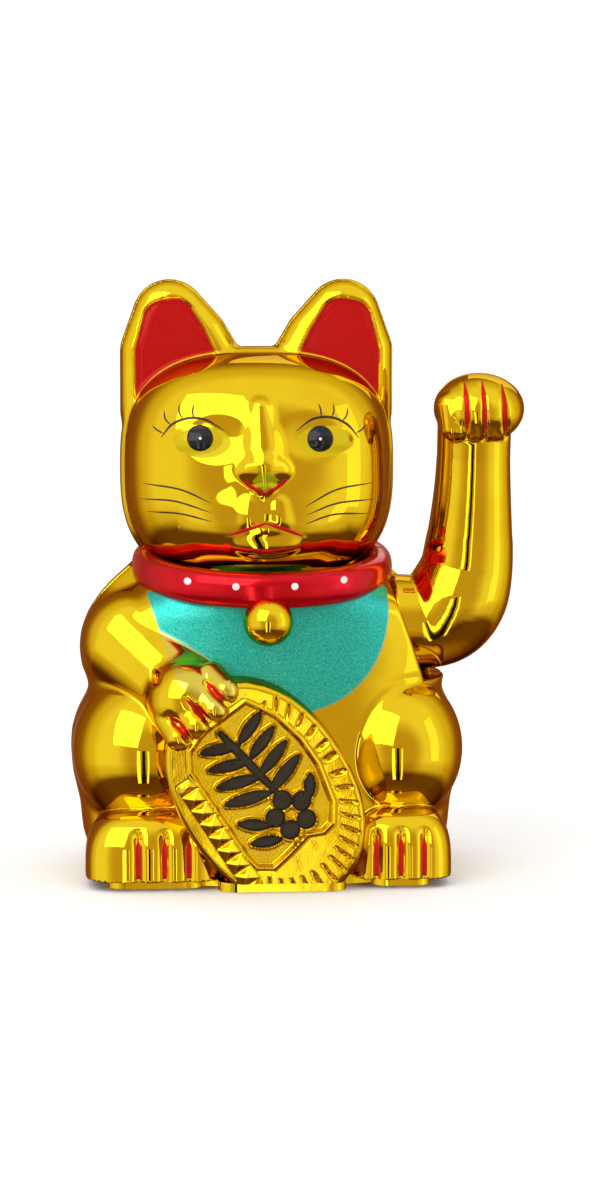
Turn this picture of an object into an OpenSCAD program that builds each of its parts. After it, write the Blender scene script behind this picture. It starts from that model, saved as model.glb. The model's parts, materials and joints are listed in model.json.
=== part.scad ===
// Beckoning cat figurine, 200 mm tall. Two plated half shells stand on a base plate that holds the cell
// and the drive. A pendulum with a magnet swings over a coil and carries the raised arm on its shaft.
// The figure faces -Y with the raised arm on its +X side. The origin is the middle of the base's underside.

/* [Casing] */
// Wall of the moulded shells
wall = 2; // [1.8:0.1:2.2]
// Height of the plinth that shows under the shells
plinth_h = 3; // [2.5:0.25:3.5]

/* [Head] */
// Half the width of the head
head_a = 46.2; // [45:0.1:47]
// Half the depth of the head
head_b = 35; // [34:0.5:36]
// Half the height of the head
head_c = 38.5; // [38:0.1:39]
// Thickness of an ear, as a share of its roundness
ear_flatness = 0.75; // [0.6:0.05:0.85]

/* [Raised arm] */
// Height of the arm's axis
axis_z = 83.7; // [83:0.1:84.5]
// Radius of the arm's root, which turns in the slot
root_r = 16; // [15.5:0.1:16]
// Side wall that the arm stands against
slot_x = 41.5; // [41:0.1:42]
// Depth of the forearm as a share of its width
forearm_flatness = 0.88; // [0.8:0.02:0.95]
// How far the arm leans forward at rest, in degrees
arm_lean = 8; // [4:0.5:10]

/* [Drive] */
// Diameter of the steel shaft
shaft_d = 3; // [2.5:0.5:3]
// Radial running clearance of the shaft in its bushes
running = 0.05; // [0.02:0.01:0.08]
// Middle of the pendulum
pendulum_x = 22.7; // [22:0.1:23.4]
// Distance from the axis to the underside of the magnet
pendulum_l = 61; // [58:0.5:61]
// Diameter of the counterweight
weight_d = 16; // [14:0.5:16]
// Height of the counterweight
weight_h = 9.2; // [8:0.1:9.2]
// Diameter of the magnet
magnet_d = 14; // [10:0.5:14]

/* [Cell] */
// Diameter of the AA cell
cell_d = 14.2; // [13.8:0.1:14.5]
// Length of the AA cell without its cap
cell_l = 49.2; // [49:0.1:49.5]
// Middle of the cell
cell_x = -28; // [-30:0.5:-27]

/* [Hidden] */
$fn = 48;
shell_fn = 24;
far = 300;
shaft_r = shaft_d / 2;

// The torso's horizontal sections: height, half width, depth to the front, depth to the rear
torso_rows = [
    [3, 56, 38, 42], [8, 60, 39, 44], [14, 62, 39, 46], [24, 63, 37, 47.5], [34, 65.4, 37, 48],
    [42, 66, 37, 48], [48, 65.7, 37, 47.5], [54, 63.9, 37, 46.5], [58, 61.8, 36.5, 45.5],
    [61.5, 59.8, 36.5, 45], [65, 60.2, 36, 44], [70, 62.3, 36, 43], [76, 63, 35.5, 41.5],
    [82, 62.3, 35, 40], [88, 60, 34.5, 38], [94, 56, 34, 35.5], [99, 51.4, 33.5, 33],
    [104, 45.5, 33, 31], [110, 42, 32, 30],
];
torso_power = 2.4;
head_at = [-2.8, 0, 137.5];
collar_at = [-1.2, -2, 103.5];
collar_lean = 6.4;
bell_at = [-1.8, -41.5, 89.2];
bell_r = 7.9;
coin_at = [-3.2, 0, 33];
coin_lean = -33.2;
coin_a = 28.6;
coin_b = 39.7;
coin_front = -50;

// The raised arm's middle line: x, z and radius, from the root to the wrist
arm_line = [
    [55, axis_z, root_r], [61.5, 87, 17], [65.8, 93.5, 17], [68.2, 101.5, 15.6], [69, 110, 14.8],
    [69.4, 119, 13.9], [69.8, 131.5, 12.8], [69.9, 144, 12.3], [70.7, 152, 12.5],
];
arm_root_x = slot_x + 1.5;
paw_at = [71.2, -1, 157.8];
paw_size = [15.1, 14.5, 11.6];

// ---- functions and shared shapes ----

function signed_power(v, p) = sign(v) * pow(abs(v), p);

// A closed ring with separate front and rear depths, n points, as [x, y]
function ring(a, front, rear, power, n) = [
    for (i = [0:n - 1])
        let (t = 360 * (i + 0.5) / n, s = signed_power(sin(t), 2 / power))
        [a * signed_power(cos(t), 2 / power), (s < 0 ? front : rear) * s]
];

// A solid through rings of equal length, each a list of 3D points
module loft(rings) {
    n = len(rings[0]);
    m = len(rings);
    points = [for (r = rings) each r];
    bottom = [[for (i = [0:n - 1]) i]];
    top = [[for (i = [n - 1:-1:0]) (m - 1) * n + i]];
    sides = [
        for (j = [0:m - 2], i = [0:n - 1])
            let (a = j * n + i, b = j * n + (i + 1) % n)
            each [[a, a + n, b + n], [a, b + n, b]]
    ];
    polyhedron(points = points, faces = concat(bottom, sides, top), convexity = 6);
}

module ellipsoid(at, size) {
    translate(at) scale(size) sphere(1, $fn = shell_fn);
}

// A swept round tube through hand-placed points, as one closed mesh
function unit(v) = v / norm(v);
function along(p, i) = unit(p[min(i + 1, len(p) - 1)] - p[max(i - 1, 0)]);
function aside(t) = unit(cross(t, abs(t[2]) > 0.8 ? [1, 0, 0] : [0, 0, 1]));

module wire(points, r) {
    rings = [
        for (i = [0:len(points) - 1])
            let (t = along(points, i), u = aside(t), v = cross(t, u))
            [for (k = [0:7]) points[i] + r * (cos(45 * k) * u + sin(45 * k) * v)]
    ];
    loft(rings);
}

// Points on a smooth curve through a few hand-placed ones
function smooth(p, steps) = [
    for (i = [0:len(p) - 2], k = [0:steps - 1])
        let (
            t = k / steps,
            a = p[max(i - 1, 0)],
            b = p[i],
            c = p[i + 1],
            d = p[min(i + 2, len(p) - 1)]
        )
        b + t * (c - a) / 2 + t * t * (a - 2.5 * b + 2 * c - d / 2)
            + t * t * t * (1.5 * (b - c) + (d - a) / 2),
    p[len(p) - 1]
];

module x_cylinder(r, x0, x1) {
    translate([x0, 0, axis_z]) rotate([0, 90, 0]) cylinder(r = r, h = x1 - x0);
}

module screw(r, l, head_r, head_h) {
    difference() {
        union() {
            cylinder(r = head_r, h = head_h);
            translate([0, 0, head_h]) cylinder(r = r, h = l);
        }
        for (a = [0, 90]) rotate(a) translate([-head_r * 0.6, -0.35, -0.1]) cube([head_r * 1.2, 0.7, 0.9]);
    }
}

// ---- the figure, drawn solid. inset gives the hollow inside it ----

module torso(inset) {
    rows = [for (r = torso_rows) if (inset == 0 || r[0] < 108) r];
    loft([
        for (r = rows)
            let (z = r[0] - (inset == 0 ? 0 : (r[0] <= plinth_h || r[0] > 90) ? 1 : 0))
            [for (p = ring(r[1] - inset, r[2] - inset, r[3] - inset, torso_power, 40)) [p[0], p[1], z]]
    ]);
}

module head(inset) {
    c = head_c - inset;
    rows = 14;
    translate(head_at) loft([
        for (j = [0:rows])
            let (
                h = -cos(180 * (0.04 + 0.92 * j / rows)),
                s = pow(1 - pow(abs(h), 2.8), 1 / 2.8)
            )
            [for (p = ring((head_a - inset) * s, (head_b - inset) * s, (head_b - 1 - inset) * s, 2.3, 36))
                [p[0], p[1], c * h]]
    ]);
}

module ear(side, inset) {
    knobs = [[29.3, 187.5, 12.5], [20.5, 180, 11], [10, 168, 8], [36.8, 160, 9], [36.4, 176, 9]];
    hull() for (k = knobs)
        translate([head_at[0] + side * k[0], 2, k[1]])
            scale([1, ear_flatness, 1]) sphere(k[2] - inset, $fn = 24);
}

module ear_recess(side) {
    knobs = [[30, 187, 7.5], [21, 177, 5], [14, 168, 3], [37.5, 158, 3]];
    hull() for (k = knobs)
        translate([head_at[0] + side * k[0], -6, k[1]])
            rotate([90, 0, 0]) cylinder(r = k[2], h = 12, $fn = 16);
}

module face() {
    hull() {
        ellipsoid([head_at[0], -30, 150], [4, 5, 5]);
        ellipsoid([head_at[0], -35, 132], [5.5, 6, 4]);
    }
    ellipsoid([head_at[0], -28, 118], [18, 9, 11]);
    for (s = [-1, 1]) ellipsoid([head_at[0] + s * 19.8, -29, 146.4], [10, 5.5, 7]);
}

module thighs(inset) {
    ellipsoid([-42, -15, 43], [24, 25, 26] - inset * [1, 1, 1]);
    ellipsoid([42.5, -15, 43], [21.8, 25, 25] - inset * [1, 1, 1]);
}

module foot(x0, x1, inset) {
    hull() {
        for (x = [x0 + 11, x1 - 11])
            translate([x, -31, 13]) scale([1, 1.2, 1]) sphere(11.5 - inset, $fn = 24);
        for (x = [x0 + 13, x1 - 13])
            translate([x, -33.5, 3 - inset]) cylinder(r = 6.5 - inset, h = 3, $fn = 24);
    }
    if (inset == 0) for (k = [0:3])
        hull() for (z = [8.5, 14])
            translate([x0 + 8.5 + k * (x1 - x0 - 17) / 3, -40.5 + 0.15 * z, z]) sphere(4.6, $fn = 20);
}

module holding_arm(inset) {
    hull() {
        ellipsoid([-46, -12, 79], [17, 16, 17] - inset * [1, 1, 1]);
        ellipsoid([-28, -32, 61], [13, 12, 13] - inset * [1, 1, 1]);
    }
    if (inset == 0) for (k = [0:3])
        hull() for (d = [0, 7])
            ellipsoid([-30.5 + 4.6 * k + 0.6 * d, -42.5, 53 + 4.4 * k - 0.8 * d], [4, 5, 4]);
}

// The coin's outline, upright, before it leans
module coin_shape(inset) {
    polygon(ring(coin_a - inset, coin_b - inset, coin_b - inset, 2.17, 44));
}

module coin_block(inset, front, back) {
    translate([coin_at[0], back, coin_at[2]]) rotate([90, 0, 0]) rotate(-coin_lean)
        linear_extrude(back - front) coin_shape(inset);
}

module coin() {
    difference() {
        coin_block(0, coin_front, -25);
        coin_block(6, coin_front - 1, coin_front + 1.6);
    }
    hull() {
        coin_block(4, coin_front + 4, -30);
        translate([-14.5, -48.5, plinth_h]) cube([34, 12, 4]);
    }
}

module collar() {
    translate(collar_at) rotate([collar_lean, 0, 0]) scale([1, 0.97, 1])
        rotate_extrude($fn = 44) translate([39.4, 0]) scale([4.6, 6]) circle(1, $fn = 12);
}

module below(z) {
    translate([-far / 2, -far / 2, z - far]) cube(far);
}

// Room for the arm's root, cut into the side of the body
module arm_slot(grow) {
    r = root_r + 1 + grow;
    low = axis_z - r - 0.2;
    translate([slot_x - grow, -r, low]) cube([60, 2 * r, r + 12]);
    hull() for (z = [0, 30])
        translate([slot_x - grow, 0, axis_z + z]) rotate([0, 90, 0]) cylinder(r = r + z / 6, h = 60);
    rotate([90, 0, 0]) linear_extrude(80) polygon([
        [52 - grow, low], [slot_x - grow, 97], [slot_x - grow, 140], [130, 140], [130, low],
    ]);
}

module figure_outside() {
    difference() {
        union() {
            difference() {
                union() {
                    torso(0);
                    thighs(0);
                    holding_arm(0);
                }
                arm_slot(0);
            }
            difference() {
                head(0);
                for (s = [-1, 1]) ear_recess(s);
            }
            for (s = [-1, 1]) difference() {
                ear(s, 0);
                ear_recess(s);
            }
            face();
            foot(-62, -16, 0);
            foot(26, 60, 0);
            coin();
            collar();
            ellipsoid(bell_at, bell_r * [1, 1, 1]);
        }
        below(plinth_h);
    }
}

module figure_inside() {
    difference() {
        union() {
            torso(wall);
            thighs(wall);
            holding_arm(wall);
            foot(-62, -16, wall);
            foot(26, 60, wall);
            translate([0, 0, 90]) cylinder(r = 30 - wall, h = 30);
            head(wall + 1);
            coin_block(2.4, coin_front + 4, -30);
        }
        arm_slot(wall);
    }
}

module half(side) {
    translate([-far / 2, side > 0 ? 0 : -far, -1]) cube(far);
}

// Where the base screws stand: x and y
base_screw_at = [[-47, -10], [47, -10], [-47, 12], [47, 12]];
// Pins that line the two shells up: x and z
pin_at = [[-45, 140], [39.5, 140], [-58.5, 82], [-2.8, 172.5], [-61.5, 36], [61.5, 36]];

module shell_bosses(side) {
    intersection() {
        for (p = base_screw_at) if (p[1] * side > 0) difference() {
            hull() {
                translate([p[0], p[1], 8]) cylinder(r = 4, h = 14, $fn = 20);
                translate([p[0] + sign(p[0]) * 14, p[1], 8]) cylinder(r = 3, h = 22, $fn = 20);
            }
            translate([p[0], p[1], 0]) cylinder(r = 1.6, h = 18, $fn = 20);
        }
        figure_outside();
    }
}

module pin_posts() {
    intersection() {
        for (p = pin_at) translate([p[0], 12, p[1]]) rotate([90, 0, 0]) cylinder(r = 3.2, h = 24, $fn = 16);
        figure_outside();
    }
}

module pegs(list, r, l) {
    for (p = list) translate([p[0], 1, p[1]]) rotate([90, 0, 0]) cylinder(r = r, h = l + 1, $fn = 16);
}

module tail() {
    hull() {
        ellipsoid([8, 44, 10], [8, 7, 7]);
        ellipsoid([24, 43, 18], [7, 6, 7]);
    }
    hull() {
        ellipsoid([24, 43, 18], [7, 6, 7]);
        ellipsoid([27, 42.5, 36], [6, 6, 7]);
    }
}

module shell(side) {
    difference() {
        intersection() {
            union() {
                difference() {
                    union() {
                        figure_outside();
                        difference() {
                            tail();
                            below(plinth_h);
                        }
                    }
                    figure_inside();
                }
                shell_bosses(side);
                pin_posts();
            }
            half(side);
        }
        x_cylinder(7.5, slot_x - 5, slot_x + 3);
        if (side < 0) pegs(pin_at, 1.8, 5);
    }
    if (side > 0) pegs(pin_at, 1.5, 4);
}

module front_shell() {
    color("gold") shell(-1);
}

module rear_shell() {
    color("goldenrod") shell(1);
}

// ---- the base ----

plate_t = plinth_h;
bay = [15.2, 59.6, 14.3];
bay_y = -30.4;
bay_z = 2.9;
cell_y = bay_y + 2;
cell_z = bay_z + cell_d / 2;
board_at = [-6.5, 0, 7];
board_size = [17, 36, 1.6];
frame_screw_at = [[8.3, -14], [8.3, 14], [37, -14], [37, 14]];
board_screw_at = [[-6.5, -15], [-6.5, 15]];

module plinth_outline(inset) {
    polygon(ring(55.2 - inset, 37.2 - inset, 41.2 - inset, torso_power, 64));
    for (x = [[-49, -29, -46], [39, 47, 45]]) hull() {
        for (k = [0, 1]) translate([x[k], -33.8]) circle(5.8 - inset);
        translate([x[2], -15]) circle(5.8 - inset);
    }
    hull() {
        for (x = [-12.5, 18]) translate([x, -41.8]) circle(6 - inset);
        translate([-18, -36]) square([41, 6]);
    }
}

module base_plate() {
    color("darkgoldenrod") difference() {
        union() {
            linear_extrude(plate_t) plinth_outline(0);
            translate([0, 0, 2]) linear_extrude(2.4) intersection() {
                polygon(ring(53.4, 35.2, 39.4, torso_power, 64));
                translate([cell_x - 12, bay_y - 3]) square([24, 80]);
            }
            translate([cell_x - bay[0] / 2 - 1.8, bay_y - 1.8, 2]) cube([bay[0] + 3.6, bay[1] + 3.6, 16.6]);
            for (p = base_screw_at) translate([p[0], p[1], 2]) cylinder(r = 4, h = 6);
            for (p = board_screw_at) translate([p[0], p[1], 2]) cylinder(r = 2.8, h = board_at[2] - 2);
            for (p = frame_screw_at) translate([p[0], p[1], 1]) cylinder(r = 3, h = 2);
            for (y = [-24, 24]) translate([0, y - 0.8, 2]) cube([36, 1.6, 4]);
        }
        translate([cell_x - bay[0] / 2, bay_y, bay_z - 1.2]) cube(bay + [0, 0, 1.4]);
        translate([cell_x - 10.2, bay_y - 1.6, 1.1]) cube([20.4, 90, 1.4]);
        translate([cell_x - 8.4, bay_y - 1.6, -1]) cube([16.8, 90, 2.4]);
        for (y = [0.35, 58.9]) translate([cell_x - 1.6, bay_y + y, 15]) cube([3.2, 0.7, 6]);
        for (p = base_screw_at) {
            translate([p[0], p[1], -1]) cylinder(r = 1.7, h = 12);
            translate([p[0], p[1], -1]) cylinder(r = 3, h = 4);
        }
        for (p = board_screw_at) translate([p[0], p[1], 2.2]) cylinder(r = 1.02, h = 8);
        for (p = frame_screw_at) translate([p[0], p[1], 0.8]) cylinder(r = 1.22, h = 8);
    }
}

module base_screws() {
    color("silver") for (p = base_screw_at) translate([p[0], p[1], 1.1]) screw(1.5, 14, 2.7, 1.9);
}

module battery_cover() {
    color("goldenrod") difference() {
        union() {
            translate([0, 0, 0.4]) linear_extrude(1) intersection() {
                plinth_outline(0.3);
                translate([cell_x - 8.1, bay_y - 1.3]) square([16.2, 80]);
            }
            translate([0, 0, 1.35]) linear_extrude(1) intersection() {
                plinth_outline(0.3);
                translate([cell_x - 9.9, bay_y - 1.3]) square([19.8, 80]);
            }
        }
        for (k = [0:4]) translate([cell_x - 5, 26 + 2 * k, -0.1]) cube([10, 0.9, 0.9]);
    }
}

// ---- the cell and its contacts ----

module battery_cell() {
    color("steelblue") translate([cell_x, cell_y, cell_z]) rotate([-90, 0, 0]) {
        cylinder(r = cell_d / 2, h = cell_l);
        translate([0, 0, -1]) cylinder(r = 2.7, h = 1);
    }
}

module cell_contact() {
    color("silver") {
        translate([cell_x - 5.5, bay_y + 0.5, cell_z - 5]) cube([11, 0.45, 11.5]);
        translate([cell_x - 1.2, bay_y + 0.5, cell_z + 6]) cube([2.4, 0.45, 6.4]);
    }
}

module cell_spring() {
    turns = 4.5;
    color("silver") {
        translate([cell_x - 5.5, bay_y + 59, cell_z - 5]) cube([11, 0.45, 11.5]);
        translate([cell_x - 1.2, bay_y + 59, cell_z + 6]) cube([2.4, 0.45, 6.4]);
        wire([
            for (k = [0:45])
                let (t = k / 45, a = 360 * turns * t, r = 4.6 - 1.4 * t)
                [cell_x + r * cos(a), bay_y + 58.7 - 7 * t, cell_z + r * sin(a)]
        ], 0.4);
    }
}

module lead_red() {
    color("red") wire(smooth([
        [cell_x, bay_y + 1.6, 20.6], [cell_x + 2, -24, 20.3], [cell_x + 8, -19, 20], [-18, -14.5, 19],
        [-16, -12, 13.5], [-13.5, -11, 9.7], [-12, -11, 9.25],
    ], 4), 0.6);
}

module lead_black() {
    color("black") wire(smooth([
        [cell_x, bay_y + 58.3, 20.6], [cell_x + 2, 23, 20.3], [cell_x + 8, 18, 20], [-18, 13.5, 19],
        [-16, 11.5, 13.5], [-13.5, 11, 9.7], [-12, 11, 9.25],
    ], 4), 0.6);
}

// ---- the drive ----

frame_top = 91;
coil_z = 5.5;
coil_h = 15.7;
coil_r = 10.3;

module upright(x) {
    translate([x, 0, 0]) rotate([90, 0, 90]) difference() {
        linear_extrude(2.6) polygon([
            [-10, 4], [10, 4], [10, 8], [6.5, 40], [6.5, frame_top], [-6.5, frame_top], [-6.5, 40], [-10, 8],
        ]);
        translate([0, axis_z, -1]) cylinder(r = 3.5, h = 5);
        translate([0, 0, -1]) linear_extrude(5) polygon([[-5, 12], [5, 12], [3, 38], [-3, 38]]);
        translate([0, 0, -1]) linear_extrude(5) polygon([[-3, 43], [3, 43], [3, 72], [-3, 72]]);
    }
}

module drive_frame() {
    color("ivory") difference() {
        union() {
            translate([5, -18, plate_t]) cube([36, 36, 2.5]);
            upright(7);
            upright(34.9);
            translate([7, -5, frame_top - 1]) cube([30.5, 10, 2.5]);
            for (x = [4.2, 37.5]) translate([x, -1, plate_t + 1]) cube([2.8, 2, 60]);
        }
        for (p = frame_screw_at) translate([p[0], p[1], 0]) cylinder(r = 1.3, h = 8);
        translate([pendulum_x, 0, 0]) cylinder(r = 2.2, h = 8);
    }
}

module frame_screws() {
    color("silver") for (p = frame_screw_at)
        translate([p[0], p[1], plate_t + 2.5 + 1.6]) rotate([180, 0, 0]) screw(1.2, 4, 2.3, 1.6);
}

module bush(x0, x1, flange) {
    difference() {
        union() {
            x_cylinder(3.48, x0, x1);
            x_cylinder(4.8, flange, flange + 0.9);
        }
        x_cylinder(shaft_r + running, x0 - 1, x1 + 1);
    }
}

module bush_inner() {
    color("goldenrod") bush(6.2, 10.4, 9.6);
}

module bush_outer() {
    color("goldenrod") bush(34, 38.4, 34);
}

module pivot_shaft() {
    color("silver") difference() {
        x_cylinder(shaft_r, 3.6, 53.5);
        translate([4.6, 0, axis_z]) rotate([0, 90, 0]) difference() {
            cylinder(r = 3, h = 0.7);
            translate([0, 0, -1]) cylinder(r = 1.1, h = 3);
        }
    }
}

module shaft_clip() {
    color("dimgray") translate([4.65, 0, axis_z]) rotate([0, 90, 0]) difference() {
        cylinder(r = 3, h = 0.6);
        translate([0, 0, -1]) cylinder(r = 1.12, h = 3);
        translate([-0.8, 0, -1]) cube([1.6, 4, 3]);
    }
}

weight_y = 2.6;

module pendulum_lever() {
    color("white") translate([pendulum_x, 0, axis_z]) difference() {
        union() {
            rotate([0, 90, 0]) translate([0, 0, -5]) cylinder(r = 5, h = 10);
            translate([-1.5, -4, -48]) cube([3, 8, 46]);
            translate([-4, -1, -48]) cube([8, 2, 46]);
            translate([0, 0, -60.5]) cylinder(r = 9.2, h = 5.5);
            translate([0, weight_y, -56.2]) cylinder(r = weight_d / 2 + 1.4, h = 5);
            translate([0, weight_y, -46]) cylinder(r = weight_d / 2, h = 1.6);
            translate([-1.5, weight_y - 9.3, -56.2]) cube([3, 1.2, 11.8]);
            translate([-1.5, weight_y + 8.1, -56.2]) cube([3, 1.2, 11.8]);
        }
        rotate([0, 90, 0]) translate([0, 0, -6]) cylinder(r = shaft_r + 0.01, h = 12);
        translate([0, 0, -61]) cylinder(r = magnet_d / 2 + 0.02, h = 4.5);
        translate([0, weight_y, -55.2]) cylinder(r = weight_d / 2 + 0.02, h = weight_h);
    }
}

module pendulum_magnet() {
    color("dimgray") translate([pendulum_x, 0, axis_z - pendulum_l]) cylinder(r = magnet_d / 2, h = 4.5);
}

module counterweight() {
    color("gray") translate([pendulum_x, weight_y, axis_z - 55.2]) cylinder(r = weight_d / 2, h = weight_h);
}

module coil_bobbin() {
    color("white") translate([pendulum_x, 0, coil_z]) difference() {
        union() {
            cylinder(r = coil_r, h = 1.2);
            cylinder(r = 4, h = coil_h);
            translate([0, 0, coil_h - 1.2]) cylinder(r = coil_r, h = 1.2);
            translate([0, 0, -2.4]) cylinder(r = 2.15, h = 3);
        }
        translate([0, 0, -3]) cylinder(r = 1.4, h = coil_h + 6);
    }
}

module coil_winding() {
    color("chocolate") translate([pendulum_x, 0, coil_z + 1.25]) difference() {
        cylinder(r = 9.3, h = coil_h - 2.5);
        translate([0, 0, -1]) cylinder(r = 4.02, h = coil_h);
    }
}

module coil_leads() {
    color("chocolate") for (s = [-1, 1]) wire(smooth([
        [pendulum_x - 4, s * 8.6, 7.4], [16, s * 12, 7.4], [10, s * 13.2, 8], [5, s * 11, 10],
        [1.5, s * 7.6, 9.4], [1.3, s * 5.6, 8.95],
    ], 4), 0.3);
}

// ---- the circuit ----

module circuit_board() {
    color("sandybrown") difference() {
        translate(board_at - [board_size[0] / 2, board_size[1] / 2, 0]) cube(board_size);
        for (p = board_screw_at) translate([p[0], p[1], 0]) cylinder(r = 1.2, h = 12);
    }
}

module board_screws() {
    color("silver") for (p = board_screw_at)
        translate([p[0], p[1], board_at[2] + board_size[2] + 1.3]) rotate([180, 0, 0]) screw(1, 5.5, 2, 1.3);
}

module transistor() {
    z = board_at[2] + board_size[2];
    color("black") difference() {
        translate([-4, 0, z + 2.5]) cylinder(r = 2.4, h = 4.6);
        translate([-7, -4.2, z + 2]) cube([6, 3, 6]);
    }
    color("silver") for (k = [-1:1]) translate([-4 + 1.27 * k - 0.22, 0, z]) cube([0.44, 0.44, 2.6]);
}

module resistors() {
    z = board_at[2] + board_size[2];
    color("tan") for (y = [-6.2, 5]) translate([-10.8, y, z + 1.1]) rotate([0, 90, 0]) {
        cylinder(r = 0.95, h = 4.2);
        for (e = [-0.9, 4.2]) translate([0, 0, e]) cylinder(r = 0.25, h = 0.9);
        for (e = [-0.9, 4.6]) translate([-0.25, -0.25, e]) cube([1.35, 0.5, 0.5]);
    }
}

module capacitor() {
    color("navy") translate([-2, -8.2, board_at[2] + board_size[2]]) {
        translate([0, 0, 0.6]) cylinder(r = 2.5, h = 7.4);
        for (x = [-1, 1]) translate([x, 0, 0]) cylinder(r = 0.25, h = 1);
    }
}

// ---- the raised arm ----

module lean() {
    translate([0, 0, axis_z]) rotate([arm_lean, 0, 0]) translate([0, 0, -axis_z]) children();
}

module drive_stub() {
    color("white") lean() difference() {
        union() {
            x_cylinder(5.4, 41.7, 43.2);
            translate([43, -3, axis_z - 3]) cube([10.5, 6, 6]);
        }
        x_cylinder(shaft_r + 0.01, 40, 60);
    }
}

module arm_socket() {
    color("white") lean() difference() {
        union() {
            x_cylinder(root_r - 1.95, arm_root_x + 0.3, arm_root_x + 3);
            x_cylinder(5.6, arm_root_x + 2, 54.5);
            for (a = [0, 90]) translate([0, 0, axis_z]) rotate([a, 0, 0])
                translate([arm_root_x + 2, -0.8, -13]) cube([6, 1.6, 26]);
        }
        translate([40, -3.07, axis_z - 3.07]) cube([20, 6.14, 6.14]);
    }
}

function arm_rows() = concat(
    [[arm_root_x, axis_z, root_r - 0.8], [arm_root_x + 0.8, axis_z, root_r]], smooth(arm_line, 2)
);

module arm_body(inset) {
    rows = arm_rows();
    n = len(rows);
    loft([
        for (i = [0:n - 1])
            let (
                p = rows[i],
                a = rows[max(i - 1, 0)],
                b = rows[min(i + 1, n - 1)],
                t = unit([b[0] - a[0], b[1] - a[1]]),
                flat = 1 - (1 - forearm_flatness) * max(0, min(1, (p[1] - 90) / 30)),
                r = p[2] - inset,
                back = (inset > 0 && i == 0) ? 2 : 0
            )
            [for (k = [0:19])
                let (c = r * cos(18 * k + 9), s = r * flat * sin(18 * k + 9))
                [p[0] - back + c * t[1], s, p[1] - c * t[0]]]
    ]);
    ellipsoid(paw_at, paw_size - inset * [1, 1, 1]);
    if (inset == 0) for (k = [0:3])
        hull() for (z = [151, 155])
            ellipsoid([60.8 + 5.4 * k + (z - 151) * 0.1, -8 - 0.3 * (z - 151), z], [4, 5.5, 4.2]);
}

// Pins that line the arm's two shells up: x and z
arm_pin_at = [[72.5, 165], [59.5, 122], [82, 122], [70, 78]];

module arm_shell(side) {
    lean() {
        difference() {
            intersection() {
                union() {
                    difference() {
                        arm_body(0);
                        arm_body(1.6);
                    }
                    intersection() {
                        arm_body(0);
                        for (p = arm_pin_at) translate([p[0], 8, p[1]])
                            rotate([90, 0, 0]) cylinder(r = 2.6, h = 16, $fn = 16);
                    }
                }
                half(side);
            }
            if (side < 0) pegs(arm_pin_at, 1.35, 4);
        }
        if (side > 0) pegs(arm_pin_at, 1.2, 3);
    }
}

module arm_front_shell() {
    color("gold") arm_shell(-1);
}

module arm_rear_shell() {
    color("goldenrod") arm_shell(1);
}

front_shell();
rear_shell();
base_plate();
base_screws();
battery_cover();
battery_cell();
cell_spring();
cell_contact();
lead_red();
lead_black();
drive_frame();
frame_screws();
bush_inner();
bush_outer();
coil_bobbin();
coil_winding();
coil_leads();
circuit_board();
board_screws();
transistor();
resistors();
capacitor();
pendulum_lever();
pivot_shaft();
shaft_clip();
pendulum_magnet();
counterweight();
drive_stub();
arm_front_shell();
arm_rear_shell();
arm_socket();
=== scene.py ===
"""The looks of a beckoning cat figurine: plated shells, painted trim and a studio round the CAD frame."""
import json
import math

import bmesh
import bpy
import numpy as np
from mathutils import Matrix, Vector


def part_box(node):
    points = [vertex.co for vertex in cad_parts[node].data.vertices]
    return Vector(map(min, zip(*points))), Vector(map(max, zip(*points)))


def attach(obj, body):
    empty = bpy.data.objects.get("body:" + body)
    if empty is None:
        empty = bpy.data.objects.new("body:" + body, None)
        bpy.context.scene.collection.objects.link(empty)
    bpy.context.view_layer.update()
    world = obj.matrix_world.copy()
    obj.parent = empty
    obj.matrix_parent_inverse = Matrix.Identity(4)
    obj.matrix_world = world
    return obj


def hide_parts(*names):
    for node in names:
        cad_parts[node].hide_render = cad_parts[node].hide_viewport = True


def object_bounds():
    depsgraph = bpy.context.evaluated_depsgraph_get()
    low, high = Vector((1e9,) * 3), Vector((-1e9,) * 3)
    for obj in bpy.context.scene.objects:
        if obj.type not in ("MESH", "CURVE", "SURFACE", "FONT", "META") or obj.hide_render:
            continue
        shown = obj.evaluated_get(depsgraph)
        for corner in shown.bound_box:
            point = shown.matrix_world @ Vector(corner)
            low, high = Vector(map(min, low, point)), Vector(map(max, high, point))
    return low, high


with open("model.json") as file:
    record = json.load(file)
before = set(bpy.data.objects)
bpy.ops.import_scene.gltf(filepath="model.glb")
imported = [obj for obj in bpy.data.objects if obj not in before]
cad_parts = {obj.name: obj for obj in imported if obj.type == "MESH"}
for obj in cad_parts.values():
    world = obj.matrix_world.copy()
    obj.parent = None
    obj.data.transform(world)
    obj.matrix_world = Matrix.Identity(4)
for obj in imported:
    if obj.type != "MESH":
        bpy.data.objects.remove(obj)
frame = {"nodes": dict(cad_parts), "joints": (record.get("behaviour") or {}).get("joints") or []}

import openvdb
from mathutils import Vector

cad_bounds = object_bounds()

# ---- sizes, in the figure's own millimetres: the CAD model is 200 of them tall ----

MM = (cad_bounds[1].z - cad_bounds[0].z) / 200
SEAM = 0.07  # half the gap between the front and the rear casing
WALL = 2.0
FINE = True
HEAD_STEP = 0.62 if FINE else 1.2
BODY_STEP = 0.7 if FINE else 1.3
ARM_STEP = 0.5 if FINE else 1.0

FOOT_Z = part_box("base_plate")[0].z / MM
CASING_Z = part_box("front_shell")[0].z / MM
SWING = [joint for joint in frame["joints"] if joint["name"] == "arm_swing"][0]
AXIS_Z = SWING["pos_m"][2] / MM
SLOT_X = 41.5
ARM_LEAN = math.radians(8)

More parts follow.
